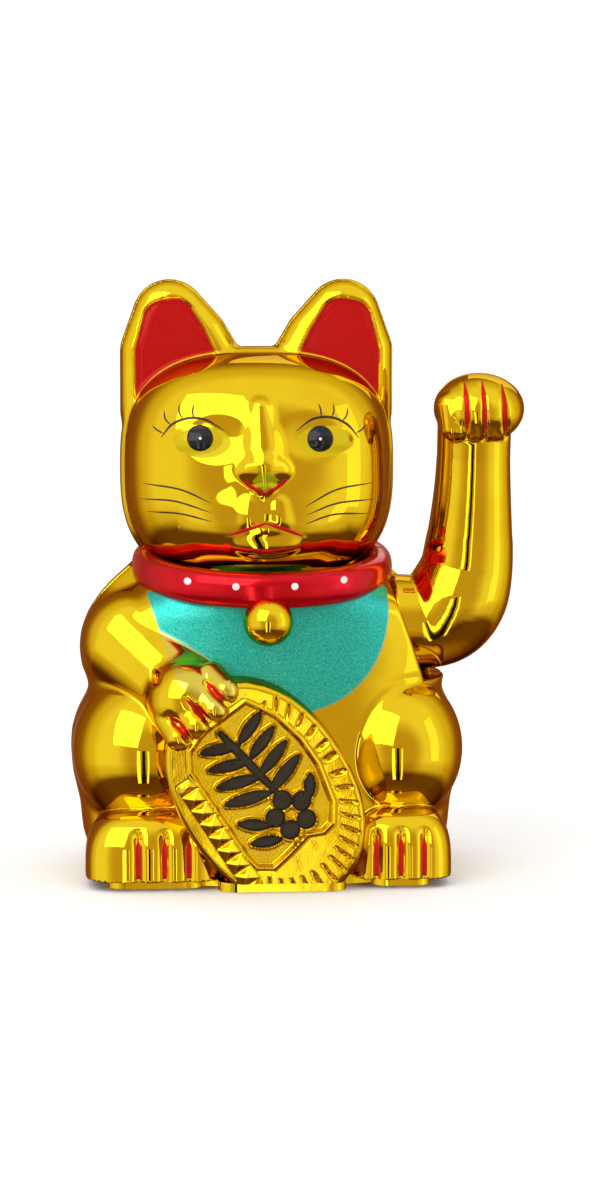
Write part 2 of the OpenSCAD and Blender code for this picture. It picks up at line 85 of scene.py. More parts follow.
HEAD_AT = np.array([-2.8, -1.0, 137.2])
HEAD_POWER = 2.3
CROWN_POWER = 2.8
EYES = [(-22.5, 147.7), (17.0, 147.7)]
PUPILS = [(-23.7, 149.1), (16.0, 148.7)]
PUPIL_R = 4.3
COLLAR_AT = np.array([-1.2, -2.0, 103.5])
COLLAR_LEAN = math.radians(6.4)
COLLAR_R = 39.4
COLLAR_SECTION = (4.6, 6.0)
COLLAR_POWER = 2.5
COLLAR_DEPTH = 0.97  # the ring is a little shallower than it is wide
BELL_AT = np.array([-1.8, -41.5, 89.2])
BELL_R = 8.1

COIN_AT = np.array([-3.2, 33.0])
COIN_LEAN = math.radians(33.2)
COIN_A, COIN_B, COIN_POWER = 28.6, 39.7, 2.17
COIN_FRONT, COIN_BACK = -50.0, -30.0

# Torso sections: height, half width, depth to the front, depth to the rear
TORSO = np.array([
    [-6, 52, 37, 40], [3, 56, 38, 42], [8, 60, 39, 44], [14, 62, 39, 46], [24, 63, 37, 47.5],
    [34, 65.4, 37, 48], [42, 66, 37, 48], [48, 65.7, 37, 47.5], [54, 63.9, 37, 46.5],
    [58, 61.8, 36.5, 45.5], [61.5, 59.8, 36.5, 45], [65, 60.2, 36, 44], [70, 62.3, 36, 43],
    [76, 63, 35.5, 41.5], [82, 62.3, 35, 40], [88, 60, 34.5, 38], [94, 56, 34, 35.5],
    [99, 51.4, 33.5, 33], [104, 45.5, 33, 31], [110, 42, 32, 30], [122, 38, 30, 28],
])
TORSO_POWER = 2.4
# The raised arm's middle line: x, z, radius
ARM_LINE = [
    (42.0, AXIS_Z, 16.0), (55.0, AXIS_Z, 16.0), (61.5, 87, 17), (65.8, 93.5, 17), (68.2, 101.5, 15.6),
    (69, 110, 14.8), (69.4, 119, 13.9), (69.8, 131.5, 12.8), (69.9, 144, 12.3), (70.7, 152, 12.3),
]


def linked(name, data):
    """A new object in the scene that shows some data."""
    thing = bpy.data.objects.new(name, data)
    bpy.context.scene.collection.objects.link(thing)
    return thing


def toward(azimuth, elevation):
    """The direction from the figure to a place round it, in degrees. Azimuth 0 is the front."""
    a, e = math.radians(azimuth), math.radians(elevation)
    return Vector((math.sin(a) * math.cos(e), -math.cos(a) * math.cos(e), math.sin(e)))


# ---- fields: each gives about the distance to a surface, negative inside ----

def smin(a, b, k):
    """The lower of two fields, blended over a width of k."""
    h = np.maximum(k - np.abs(a - b), 0) / k
    return np.minimum(a, b) - h * h * k / 4


def smax(a, b, k):
    """The higher of two fields, blended over a width of k."""
    return -smin(-a, -b, k)


def smoothstep(a, b, x):
    """0 below a, 1 above b, smooth between."""
    t = np.clip((x - a) / (b - a), 0, 1)
    return t * t * (3 - 2 * t)


def ellipsoid(p, at, size):
    """An ellipsoid with the given half sizes."""
    size = np.asarray(size, float)
    q = (p - np.asarray(at, float)) / size
    k0 = np.sqrt((q * q).sum(1)) + 1e-9
    q = q / size
    return k0 * (k0 - 1) / (np.sqrt((q * q).sum(1)) + 1e-9)


def cone(p, a, b, ra, rb, flat=1.0):
    """A round-ended cone from a to b. flat squeezes it along Y."""
    a = np.asarray(a, float)
    ab = np.asarray(b, float) - a
    q = p - a
    h = np.clip(q @ ab / (ab @ ab), 0, 1)
    d = q - h[:, None] * ab
    d[:, 1] /= flat
    return np.sqrt((d * d).sum(1)) - (ra + (rb - ra) * h)


def round_box(p, at, half, r):
    """A box with rounded edges."""
    q = np.abs(p - np.asarray(at, float)) - (np.asarray(half, float) - r)
    return np.sqrt((np.maximum(q, 0) ** 2).sum(1)) + np.minimum(q.max(1), 0) - r


def add(f, p, k, shape, *args):
    """f blended with a solid, worked out only near that solid's own box."""
    lo, hi = shape_box(shape, args)
    m = np.all((p > lo - 7) & (p < hi + 7), axis=1)
    if m.any():
        f[m] = smin(f[m], shape(p[m], *args), k)
    return f


def shape_box(shape, args):
    """The box that holds a solid."""
    if shape is cone:
        a, b = np.asarray(args[0], float), np.asarray(args[1], float)
        r = max(args[2], args[3])
        return np.minimum(a, b) - r, np.maximum(a, b) + r
    at, half = np.asarray(args[0], float), np.asarray(args[1], float)
    return at - half, at + half


def cut(f, p, k, at, size):
    """f with an ellipsoid scooped out of it."""
    at, size = np.asarray(at, float), np.asarray(size, float)
    m = np.all(np.abs(p - at) < size + 7, axis=1)
    if m.any():
        f[m] = smax(f[m], -ellipsoid(p[m], at, size), k)
    return f


def spline_table(rows, step=2.0):
    """Even, slightly softened knots through the rows, for a cubic B-spline."""
    z = np.arange(rows[0, 0], rows[-1, 0] + 1e-6, step)
    cols = np.array([np.interp(z, rows[:, 0], rows[:, k]) for k in range(1, rows.shape[1])])
    kernel = np.array([1, 4, 1]) / 6
    pad = np.pad(cols, ((0, 0), (1, 1)), mode="edge")
    soft = np.array([np.convolve(c, kernel, "valid") for c in pad])
    return rows[0, 0], step, 2 * cols - soft if step > 3 else soft


TORSO_TABLE = spline_table(TORSO)


def spline(table, z):
    """Cubic B-spline values of every column at heights z."""
    z0, step, knots = table
    s = np.clip((z - z0) / step, 1, knots.shape[1] - 3)
    i = s.astype(int)
    t = s - i
    w = [
        (1 - t) ** 3 / 6, (3 * t ** 3 - 6 * t * t + 4) / 6,
        (-3 * t ** 3 + 3 * t * t + 3 * t + 1) / 6, t ** 3 / 6,
    ]
    return sum(knots[:, i - 1 + k] * w[k] for k in range(4))


def torso(p):
    """The sitting body, whose section changes with height."""
    a, front, rear = spline(TORSO_TABLE, p[:, 2])
    a = a - 7.5 * smoothstep(89, 99, p[:, 2]) * smoothstep(1.5, -9, p[:, 1])
    b = front + (rear - front) * smoothstep(-6, 6, p[:, 1])
    r = np.hypot(p[:, 0], p[:, 1]) + 1e-6
    n = TORSO_POWER
    rho = ((np.abs(p[:, 0]) / a) ** n + (np.abs(p[:, 1]) / b) ** n) ** (1 / n) + 1e-6
    return r * (1 - 1 / rho) * 0.9


def rounded(p, at, half, flat_power, crown_power):
    """A full, nearly square-shouldered ball."""
    q = np.abs(p - at) / half
    rho = (q[:, 0] ** flat_power + q[:, 1] ** flat_power) ** (1 / flat_power)
    rad = (rho ** crown_power + q[:, 2] ** crown_power) ** (1 / crown_power) + 1e-6
    d = p - at
    return np.sqrt((d * d).sum(1)) * (1 - 1 / rad) * 0.85


def polygon_sd(q, points):
    """2D signed distance to a polygon."""
    points = np.asarray(points, float)
    best = np.full(len(q), 1e9)
    inside = np.zeros(len(q), bool)
    for a, b in zip(points, np.roll(points, -1, axis=0)):
        e = b - a
        w = q - a
        h = np.clip((w @ e) / (e @ e), 0, 1)
        d = w - h[:, None] * e
        best = np.minimum(best, (d * d).sum(1))
        inside ^= ((a[1] > q[:, 1]) != (b[1] > q[:, 1])) & (
            q[:, 0] < (b[0] - a[0]) * (q[:, 1] - a[1]) / (b[1] - a[1] + 1e-12) + a[0])
    return np.where(inside, -1, 1) * np.sqrt(best)


def hull_of(knobs, soft):
    """The convex outline round some circles (x, z, radius), each made smaller by soft."""
    turn = np.arange(32) / 32 * 2 * math.pi
    points = sorted({(round(x + (r - soft) * math.cos(t), 4), round(z + (r - soft) * math.sin(t), 4))
                     for x, z, r in knobs for t in turn})

    def chain(items):
        out = []
        for q in items:
            while len(out) > 1 and ((out[-1][0] - out[-2][0]) * (q[1] - out[-2][1])
                                    - (out[-1][1] - out[-2][1]) * (q[0] - out[-2][0])) <= 0:
                out.pop()
            out.append(q)
        return out[:-1]

    return chain(points) + chain(points[::-1])


EAR_SOFT, PANEL_SOFT = 5.0, 2.0
EAR_OUTLINE = hull_of([
    (29.3, 187.5, 12.5), (20.5, 180, 11), (10, 168, 8), (36.5, 156, 9.5), (34.6, 176, 11.4),
], EAR_SOFT)
PANEL_OUTLINE = hull_of([
    (31.4, 186.2, 7.2), (28, 187, 6.9), (22.4, 180.6, 5.4), (14.6, 170, 2.6), (37.6, 156, 3.2),
    (36.6, 176, 4.6),
], PANEL_SOFT)


def ear_side(p):
    """Which ear each point belongs to, and its place in that ear's own half."""
    x = p[:, 0] - HEAD_AT[0]
    return np.column_stack([np.abs(x), p[:, 2]])


def ears(p):
    """Both ears: thick rounded leaves with a shallow panel sunk in the front."""
    q = ear_side(p)
    flat = polygon_sd(q, EAR_OUTLINE) - EAR_SOFT
    r, half = 8.0, 7.4
    edge = np.maximum(flat + r, 0)
    y = (p[:, 1] - 2.0) * (r / half)
    f = np.sqrt(edge * edge + y * y) - r
    panel = polygon_sd(q, PANEL_OUTLINE) - PANEL_SOFT
    sunk = np.where(p[:, 1] < 0, smoothstep(0.9, -0.9, panel) * 1.6, 0)
    return f * 0.92 + sunk


def face(f, p):
    """The features moulded into the front of the head."""
    m = (p[:, 1] < -14) & (p[:, 2] < 168)
    if not m.any():
        return f
    q = p[m]
    g = f[m]
    for x, z in EYES:
        side = np.sign(x - HEAD_AT[0])
        g = cut(g, q, 4.0, (x - 0.6 * side, -42.4, z + 2.6), (15.0, 10.4, 9.6))
        g = add(g, q, 0.8, ellipsoid, (x, -26.8, z), (10.2, 6.5, 6.2))
    g = add(g, q, 4.0, cone, (-3.9, -32.6, 159), (-2.8, -33.6, 139.5), 2.4, 5.9)
    g = add(g, q, 2.6, cone, (-2.7, -34.6, 139.0), (-2.6, -36.2, 134.0), 5.6, 2.6)
    for s in (-1, 1):
        g = add(g, q, 2.4, ellipsoid, (-2.6 + s * 5.2, -34.2, 138.8), (3.4, 3.4, 3.0))
        g = add(g, q, 2.2, cone, (-2.6 + s * 4.9, -35.0, 127.6), (-2.6 + s * 5.4, -35.4, 123.0), 1.5, 1.5)
    g = add(g, q, 8.0, ellipsoid, (-2.6, -26.5, 120.5), (21.0, 9.6, 12.0))
    for s in (-1, 1):
        g = add(g, q, 1.8, cone, (-2.4 + s * 1.4, -36.0, 119.2), (-2.4 + s * 12.4, -33.2, 115.9), 1.9, 0.9)
    g = add(g, q, 1.5, ellipsoid, (-2.0, -33.4, 114.4), (11.6, 4.1, 4.4))
    f[m] = g
    return f


def fingers(f, p, ends, r, k):
    """Rounded fingers side by side, each from one point to another."""
    for a, b in ends:
        f = add(f, p, k, cone, a, b, r[0], r[1])
    return f


HOLD_FINGERS = [
    ((-20.8, -42.0, 71.0), (-16.6, -48.6, 67.2)),
    ((-25.4, -44.4, 66.6), (-20.2, -50.6, 61.4)),
    ((-30.2, -44.6, 61.8), (-26.0, -50.6, 56.4)),
    ((-34.6, -43.0, 57.0), (-31.6, -48.8, 52.2)),
]
HOLD_CLAWS = [
    ((-22.7, 70.4), (-16.2, 63.6)),
    ((-29.4, 65.0), (-20.2, 56.3)),
    ((-34.9, 59.7), (-28.9, 51.8)),
]
FEET = [((-62, -16), (-45.0, -36.3, -28.2)), ((26, 60), (34.1, 42.1, 49.9))]


def creases(p, lines, width, depth):
    """How deep the creases along some lines in the front view are at each point."""
    total = np.zeros(len(p))
    for (ax, az), (bx, bz) in lines:
        dx, dz = bx - ax, bz - az
        h = np.clip(((p[:, 0] - ax) * dx + (p[:, 2] - az) * dz) / (dx * dx + dz * dz), 0, 1)
        d = np.hypot(p[:, 0] - ax - h * dx, p[:, 2] - az - h * dz)
        total = np.maximum(total, depth * np.exp(-(d / width) ** 2) * (0.35 + 0.65 * smoothstep(0, 0.5, h)))
    return total


def holding_arm(p):
    """The arm that reaches down to the coin, with its knuckled paw."""
    f = cone(p, (-45.4, -11.5, 79.2), (-28.0, -31.0, 63.8), 17.2, 13.8)
    near = (p[:, 1] < -20) & (p[:, 0] < 0) & (p[:, 2] < 90)
    if near.any():
        q = p[near]
        g = smin(f[near], ellipsoid(q, (-28.6, -39.0, 63.2), (13.2, 13.4, 13.2)), 3.0)
        g = fingers(g, q, HOLD_FINGERS, (5.2, 4.7), 1.0)
        f[near] = g + creases(q, HOLD_CLAWS, 1.1, 1.5)
    return f


def groove(p, x, z0, z1, width, depth):
    """How deep a vertical groove with a round top is at each point."""
    across = np.exp(-((p[:, 0] - x) / width) ** 2)
    return depth * across * smoothstep(z1 + 1.8, z1 - 2.6, p[:, 2]) * smoothstep(z0 - 3, z0, p[:, 2])


def feet(f, p):
    """Two broad feet with toes."""
    for (x0, x1), claws in FEET:
        at = np.array([(x0 + x1) / 2, -29.0, 6.0])
        half = np.array([(x1 - x0) / 2, 17.0, 20.3])
        m = np.all(np.abs(p - at) < np.asarray(half) + 6, axis=1)
        if not m.any():
            continue
        q = p[m]
        g = rounded(q, at, half, 3.4, 3.0)
        for x in claws:
            g = g + groove(q, x, 3.5, 19.5, 1.6, 1.6)
        f[m] = smin(f[m], g, 1.0)
    return f


def arm_slot(p):
    """The room beside the body where the raised arm turns."""
    x, y, z = p[:, 0], p[:, 1], p[:, 2]
    side = np.maximum.reduce([SLOT_X - x, np.abs(y) - 17.3, AXIS_Z - 17.3 - z])
    leaning = (x - 52) * 0.9455 + (z - 66.5) * 0.3255
    front = np.maximum.reduce([-leaning, y - 0.5, AXIS_Z - 17.3 - z])
    return np.minimum(side, front)


def body(p):
    """The sitting body with its thighs, feet, holding arm and coin pedestal."""
    f = torso(p)
    f = add(f, p, 2.4, ellipsoid, (-42, -15, 43), (23.6, 25.6, 26))
    f = add(f, p, 2.4, ellipsoid, (43.4, -15, 43), (22.2, 25.6, 25.6))
    f = smax(f, -arm_slot(p), 1.2)
    f = smin(f, holding_arm(p), 1.0)
    f = cut(f, p, 1.6, (-38.9, -41.4, 71.1), (1.1, 5.0, 2.6))
    f = feet(f, p)
    return add(f, p, 1.0, round_box, (2.5, -41.5, 6.0), (17.0, 7.0, 5.0), 2.0)


def head(p):
    """The head with its ears and face, and the band that edges it."""
    front = p[:, 1] < HEAD_AT[1]
    half = np.where(front[:, None], [44.7, 34.8, 38.4], [44.7, 34.0, 38.4])
    f = rounded(p, HEAD_AT, half, HEAD_POWER, CROWN_POWER)
    depth = np.where(front, 8.0, 33.0)
    band = np.column_stack([np.full(len(p), 46.2), depth, np.full(len(p), 40.2)])
    f = smin(f, rounded(p, HEAD_AT, band, 2.4, CROWN_POWER), 0.7)
    f = smin(f, ears(p), 1.4)
    return face(f, p)


def figure(p):
    """The whole figure without the raised arm, coin, collar and bell."""
    f = np.full(len(p), 1e3)
    low = p[:, 2] < 116
    if low.any():
        f[low] = np.maximum(body(p[low]), collar_split(p[low]) + 0.3)
    high = p[:, 2] > 88
    if high.any():
        f[high] = smin(f[high], head(p[high]), 1.5)
    if (p[:, 1] > 20).any():
        f = add(f, p, 1.2, cone, (8, 44, 10), (24, 43, 18), 7.5, 6.5)
        f = add(f, p, 1.2, cone, (24, 43, 18), (27, 42.5, 36), 6.5, 6.2)
    return f


def collar_split(p):
    """Height above the leaning plane through the middle of the collar."""
    d = p - COLLAR_AT
    return d[:, 2] * math.cos(COLLAR_LEAN) - d[:, 1] * math.sin(COLLAR_LEAN)


def casing(front, upper):
    """One quarter of the two moulded shells, as a field with a wall."""
    def field(p):
        f = figure(p)
        f = np.maximum(f, -(f + WALL))
        seam = p[:, 1] + SEAM if front else SEAM - p[:, 1]
        split = collar_split(p)
        f = np.maximum(f, seam)
        f = np.maximum(f, -split if upper else split)
        return np.maximum(f, CASING_Z + 0.03 - p[:, 2])
    return field


def dense(line, steps=3):
    """More points and radii on a smooth curve through the given ones."""
    pts = np.asarray(line, float)
    ext = np.vstack([2 * pts[0] - pts[1], pts, 2 * pts[-1] - pts[-2]])
    out = []
    for a, b, c, d in zip(ext, ext[1:], ext[2:], ext[3:]):
        for t in np.arange(steps) / steps:
            out.append(b + t * (c - a) / 2 + t * t * (a - 2.5 * b + 2 * c - d / 2)
                       + t ** 3 * (1.5 * (b - c) + (d - a) / 2))
    return np.array(out + [pts[-1]])


ARM_SQUASH = 0.1  # how much shallower than wide the arm is
ELBOW = dense(ARM_LINE[:6], 4)
FOREARM = spline_table(np.array([[86, 62.6, 17.4], [88, 63.4, 17.3]] + [[z, x, r] for x, z, r in ARM_LINE[3:]]
                                + [[162, 71.2, 12.3]]), 7.0)


def unlean(p):
    """Points turned back about the arm's axis, so that the arm stands upright."""
    c, s = math.cos(ARM_LEAN), math.sin(ARM_LEAN)
    y, z = p[:, 1], p[:, 2] - AXIS_Z
    return np.column_stack([p[:, 0], c * y + s * z, -s * y + c * z + AXIS_Z])


PAW_FINGERS = [
    ((60.7 + 5.5 * k, -7.6 + 0.3 * abs(k - 1.5), 161.0 - 0.5 * abs(k - 1.5)),
     (61.3 + 5.2 * k, -10.2 + 0.4 * abs(k - 1.5), 152.8)) for k in range(4)
]
PAW_CLAWS = [((65.4, 166.2), (65.9, 150.0)), ((71.2, 166.8), (71.7, 150.0)), ((77.9, 165.6), (79.2, 149.4))]


def arm(p):
    """The raised arm with its paw."""
    q = unlean(p)
    f = np.full(len(p), 1e3)
    low = q[:, 2] < 118
    for a, b in zip(ELBOW, ELBOW[1:]):
        flat = 1 - ARM_SQUASH * min(max((a[1] - 90) / 10, 0), 1)
        f[low] = smin(f[low], cone(q[low], (a[0], 0, a[1]), (b[0], 0, b[1]), a[2], b[2], flat), 0.3)
    x, r = spline(FOREARM, q[:, 2])
    upright = (np.hypot(q[:, 0] - x, q[:, 1] / (1 - ARM_SQUASH)) - r) * 0.96
    f = smin(f, np.maximum(upright, np.maximum(97 - q[:, 2], q[:, 2] - 155)), 0.6)
    f = smin(f, ellipsoid(q, (71.2, -1, 157.8), (15.2, 14.5, 11.8)), 0.8)
    f = fingers(f, q, PAW_FINGERS, (4.3, 3.9), 1.0)
    f = f + np.where(q[:, 1] < -4, creases(q, PAW_CLAWS, 0.9, 1.2), 0)
    return np.maximum(f, SLOT_X + 1.5 - q[:, 0])


def arm_casing(front):
    """Half of the raised arm, as a field with a wall."""
    def field(p):
        f = arm(p)
        f = np.maximum(f, -(f + 1.6))
        y = unlean(p)[:, 1]
        return np.maximum(f, y + SEAM if front else SEAM - y)
    return field


def collar(p):
    """The collar: a leaning ring with a full, slightly flattened section."""
    d = p - COLLAR_AT
    c, s = math.cos(COLLAR_LEAN), math.sin(COLLAR_LEAN)
    y = c * d[:, 1] + s * d[:, 2]
    z = -s * d[:, 1] + c * d[:, 2]
    r = np.hypot(d[:, 0], y / COLLAR_DEPTH) - COLLAR_R
    a, b = COLLAR_SECTION
    n = COLLAR_POWER
    rho = (np.abs(r / a) ** n + np.abs(z / b) ** n) ** (1 / n) + 1e-6
    return np.hypot(r, z) * (1 - 1 / rho) * 0.9


# ---- meshes ----

def gradient(field, p, h=0.14):
    """The field's slope at each point, from four samples."""
    corners = np.array([[1, 1, 1], [1, -1, -1], [-1, 1, -1], [-1, -1, 1]], float)
    return sum(c * field(p + c * h)[:, None] for c in corners) / (4 * h)


def unit(v):
    return v / (np.linalg.norm(v, axis=1, keepdims=True) + 1e-12)


def in_chunks(field, p, size=150000):
    """The field at many points, a part at a time."""
    return np.concatenate([field(p[i:i + size]) for i in range(0, len(p), size)])


def surface(field, lo, hi, step, cells=5):
    """Points and quads on field = 0. The grid is fine only in the blocks that the surface may cross."""
    lo, hi = np.asarray(lo, float), np.asarray(hi, float)
    blocks = np.ceil((hi - lo) / (step * cells)).astype(int)
    index = np.indices(blocks).reshape(3, -1).T
    middle = lo + (index * cells + (cells - 1) / 2) * step
    rough = in_chunks(field, middle)
    values = np.empty((len(index), cells ** 3), np.float32)
    values[:] = np.clip(rough, -3 * step, 3 * step)[:, None]
    hot = np.nonzero(np.abs(rough) < 0.87 * step * cells * 1.5)[0]
    inner = np.indices((cells,) * 3).reshape(3, -1).T
    for part in np.array_split(hot, max(1, len(hot) * cells ** 3 // 150000)):
        p = lo + (index[part][:, None, :] * cells + inner[None]) * step
        values[part] = field(p.reshape(-1, 3)).reshape(len(part), -1)
    nx, ny, nz = blocks
    grid = values.reshape(nx, ny, nz, cells, cells, cells).transpose(0, 3, 1, 4, 2, 5)
    grid = np.ascontiguousarray(grid.reshape(nx * cells, ny * cells, nz * cells))
    volume = openvdb.FloatGrid(3 * step)
    volume.copyFromArray(grid)
    points, quads = volume.convertToQuads(isovalue=0.0)
    points = np.asarray(points, float) * step + lo
    for _ in range(2):
        g = gradient(field, points, 0.2 * step)
        f = field(points)
        move = -(f / ((g * g).sum(1) + 1e-6))[:, None] * g
        length = np.linalg.norm(move, axis=1, keepdims=True)
        points += move * np.minimum(1, 0.4 * step / (length + 1e-9))
    return points, np.asarray(quads)


def enclosed(points, faces):
    """Signed volume of a mesh of quads."""
    a, b, c, d = (points[faces[:, k]] for k in range(4))
    return (np.einsum("ij,ij->i", a, np.cross(b, c)) + np.einsum("ij,ij->i", a, np.cross(c, d))).sum() / 6


def make_object(name, points, faces, material, normals=None, attributes=None):
    """A smooth object from points in millimetres."""
    mesh = bpy.data.meshes.new(name)
    corners = faces if isinstance(faces, list) else faces.tolist()
    mesh.from_pydata((np.asarray(points) * MM).tolist(), [], corners)
    mesh.update()
    mesh.polygons.foreach_set("use_smooth", [True] * len(mesh.polygons))
    for key, value in (attributes or {}).items():
        layer = mesh.attributes.new(key, "FLOAT", "POINT")
        layer.data.foreach_set("value", np.asarray(value, np.float32))
    if normals is not None:
        mesh.normals_split_custom_set_from_vertices(normals.tolist())
    mesh.materials.append(material)
    return linked(name, mesh)


def moulded(name, field, lo, hi, step, material, paint=None, soft=0.16):
    """A closed moulding of a field, with true normals and its painted areas."""
    points, quads = surface(field, lo, hi, step)
    if enclosed(points, quads) < 0:
        quads = quads[:, ::-1]
    normals = unit(gradient(field, points, soft))
    attributes = paint(points, normals) if paint else None
    return make_object(name, points, quads, material, normals, attributes)


def onto_front(field, xz):
    """Where lines along Y through the given x, z first meet a field, with the normals there."""
    xz = np.asarray(xz, float)
    p = np.column_stack([xz[:, 0], np.full(len(xz), -64.0), xz[:, 1]])
    for _ in range(70):
        p[:, 1] += 0.75 * np.clip(field(p), -1, 5)
    return p, unit(gradient(field, p, 0.25))


def stroke_mesh(field, line, width, lift, taper=(0.25, 0.25), steps=10):
    """One painted stroke: a thin closed strip that follows the surface."""
    c = dense(line, steps if len(line) > 2 else 2 * steps)
    n = len(c)
    t = np.gradient(c, axis=0)
    t /= np.linalg.norm(t, axis=1, keepdims=True) + 1e-9
    side = np.column_stack([-t[:, 1], t[:, 0]])
    s = np.linspace(0, 1, n)
    half = width / 2 * np.minimum(1, np.minimum(
        taper[0] + (1 - taper[0]) * s * 4, taper[1] + (1 - taper[1]) * (1 - s) * 4))
    across = np.array([-1, -0.55, 0, 0.55, 1])
    m = len(across)
    xz = (c[:, None, :] + side[:, None, :] * (half[:, None] * across[None])[:, :, None]).reshape(-1, 2)
    p, nrm = onto_front(field, xz)
    up = np.tile(0.02 + lift * (1 - across ** 2), n)[:, None]
    top = (p + nrm * up).reshape(n, m, 3)
    low = (p - nrm * 0.18).reshape(n, m, 3)[:, ::-1]
    rings = np.concatenate([top, low], axis=1)
    k = 2 * m
    points = rings.reshape(-1, 3)
    faces = [
        (i * k + j, i * k + (j + 1) % k, (i + 1) * k + (j + 1) % k, (i + 1) * k + j)
        for i in range(n - 1) for j in range(k)
    ]
    for i in range(m - 1):
        j = 2 * m - 1 - i
        faces.append((i + 1, i, j, j - 1))
        o = (n - 1) * k
        faces.append((o + i, o + i + 1, o + j - 1, o + j))
    return points, faces


def strokes(name, field, lines, width, lift, material, body_name, taper=(0.25, 0.25)):
    """Several painted strokes as one piece."""
    points, faces = [], []
    for line in lines:
        p, f = stroke_mesh(field, line, width, lift, taper)
        start = sum(len(q) for q in points)
        points.append(p)
        faces += [tuple(v + start for v in face) for face in f]
    return finished(name, np.vstack(points), faces, material, body_name)


def finished(name, points, faces, material, body_name):
    """A piece with its faces turned outwards, riding its body."""
    piece = make_object(name, points, faces, material)
    bm = bmesh.new()
    bm.from_mesh(piece.data)
    bmesh.ops.recalc_face_normals(bm, faces=bm.faces)
    bm.to_mesh(piece.data)
    bm.free()
    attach(piece, body_name)
    return piece


def discs(name, field, places, lift, material, body_name, segments=36, rings=7):
    """Low round domes on a surface, each with a place and a radius."""
    points, faces = [], []
    for (x, z), radius in places:
        r = np.linspace(0, 1, rings + 1)[1:]
        a = np.arange(segments) / segments * 2 * math.pi
        xz = [(x, z)] + [(x + radius * q * math.cos(t), z + radius * q * math.sin(t)) for q in r for t in a]
        p, nrm = onto_front(field, xz)
        q = np.concatenate([[0], np.repeat(r, segments)])
        top = p + nrm * (0.04 + lift * (1 - q ** 2))[:, None]
        rim = p[-segments:] - nrm[-segments:] * 0.25
        foot = p[:1] - nrm[:1] * 0.25
        o = sum(len(v) for v in points)
        n = len(top)
        points.append(np.vstack([top, rim, foot]))
        for i in range(segments):
            j = (i + 1) % segments
            faces.append((o, o + 1 + i, o + 1 + j))
            for k in range(rings - 1):
                b = o + 1 + k * segments
                faces.append((b + i, b + segments + i, b + segments + j, b + j))
            e = o + 1 + (rings - 1) * segments
            faces.append((e + i, o + n + i, o + n + j, e + j))
            faces.append((o + n + i, o + n + segments, o + n + j))
    return finished(name, np.vstack(points), faces, material, body_name)


# ---- materials ----

class Shader:
    """A small helper that wires nodes to one principled shader."""

    def __init__(self, name, **sockets):
        self.mat = bpy.data.materials.new(name)
        self.mat.use_nodes = True
        self.nodes = self.mat.node_tree.nodes
        self.links = self.mat.node_tree.links
        self.bsdf = self.nodes["Principled BSDF"]
        self.coord = self.nodes.new("ShaderNodeTexCoord").outputs["Object"]
        for key, value in sockets.items():
            self.bsdf.inputs[key.replace("_", " ")].default_value = value

    def put(self, socket, value):
        if hasattr(value, "is_linked"):
            self.links.new(value, socket)
        else:
            socket.default_value = value

    def noise(self, scale, detail=3.0, rough=0.5):
        """Noise whose features are about 1 / scale metres across."""
        n = self.nodes.new("ShaderNodeTexNoise")
        n.inputs["Scale"].default_value = scale
        n.inputs["Detail"].default_value = detail
        n.inputs["Roughness"].default_value = rough
        self.links.new(self.coord, n.inputs["Vector"])
        return n.outputs["Fac"]

    def attribute(self, name):
        n = self.nodes.new("ShaderNodeAttribute")
        n.attribute_name = name
        return n.outputs["Fac"]

    def span(self, value, a, b, low=0.0, high=1.0):
        """value mapped from a..b to low..high, clamped."""
        n = self.nodes.new("ShaderNodeMapRange")
        self.put(n.inputs["Value"], value)
        for key, v in (("From Min", a), ("From Max", b), ("To Min", low), ("To Max", high)):
            n.inputs[key].default_value = v
        return n.outputs["Result"]

    def sum(self, a, b, op="ADD"):
        n = self.nodes.new("ShaderNodeMath")
        n.operation = op
        self.put(n.inputs[0], a)
        self.put(n.inputs[1], b)
        return n.outputs[0]

    def mix(self, fac, a, b):
        n = self.nodes.new("ShaderNodeMix")
        n.data_type = "RGBA"
        self.put(n.inputs[0], fac)
        self.put(n.inputs[6], a)
        self.put(n.inputs[7], b)
        return n.outputs[2]

    def bump(self, height, distance, strength=1.0):
        n = self.nodes.new("ShaderNodeBump")
        n.inputs["Strength"].default_value = strength
        n.inputs["Distance"].default_value = distance
        self.put(n.inputs["Height"], height)
        self.links.new(n.outputs["Normal"], self.bsdf.inputs["Normal"])

    def set(self, **sockets):
        for key, value in sockets.items():
            self.put(self.bsdf.inputs[key.replace("_", " ")], value)
        return self


GOLD = (0.78, 0.54, 0.010, 1)
GOLD_WARM = (0.73, 0.47, 0.006, 1)
GOLD_EDGE = (0.62, 0.36, 0.02, 1)
RED = (0.42, 0.001, 0.006, 1)
TEAL = (0.006, 0.37, 0.31, 1)
TEAL_LIGHT = (0.09, 0.68, 0.60, 1)
EYE_YELLOW = (0.55, 0.41, 0.006, 1)
NOSE_GREEN = (0.44, 0.42, 0.006, 1)


def gold_finish(name, rough=(0.035, 0.075)):
    """Vacuum plated plastic under clear lacquer: a faint waviness, a few softer patches and dust."""
    s = Shader(name, Metallic=1.0, Coat_Weight=0.12, Coat_Roughness=0.04, IOR=1.4, Specular_Tint=GOLD_EDGE)
    patches = s.noise(45, 3)
    dust = s.noise(900, 2)
    s.set(Base_Color=s.mix(s.span(patches, 0.35, 0.7), GOLD, GOLD_WARM))
    s.set(Roughness=s.span(s.sum(patches, s.sum(dust, 0.35, "MULTIPLY")), 0.4, 1.0, *rough))
    s.bump(s.sum(s.noise(95, 2), s.sum(s.noise(700, 2), 0.05, "MULTIPLY")), 0.00007)
    return s


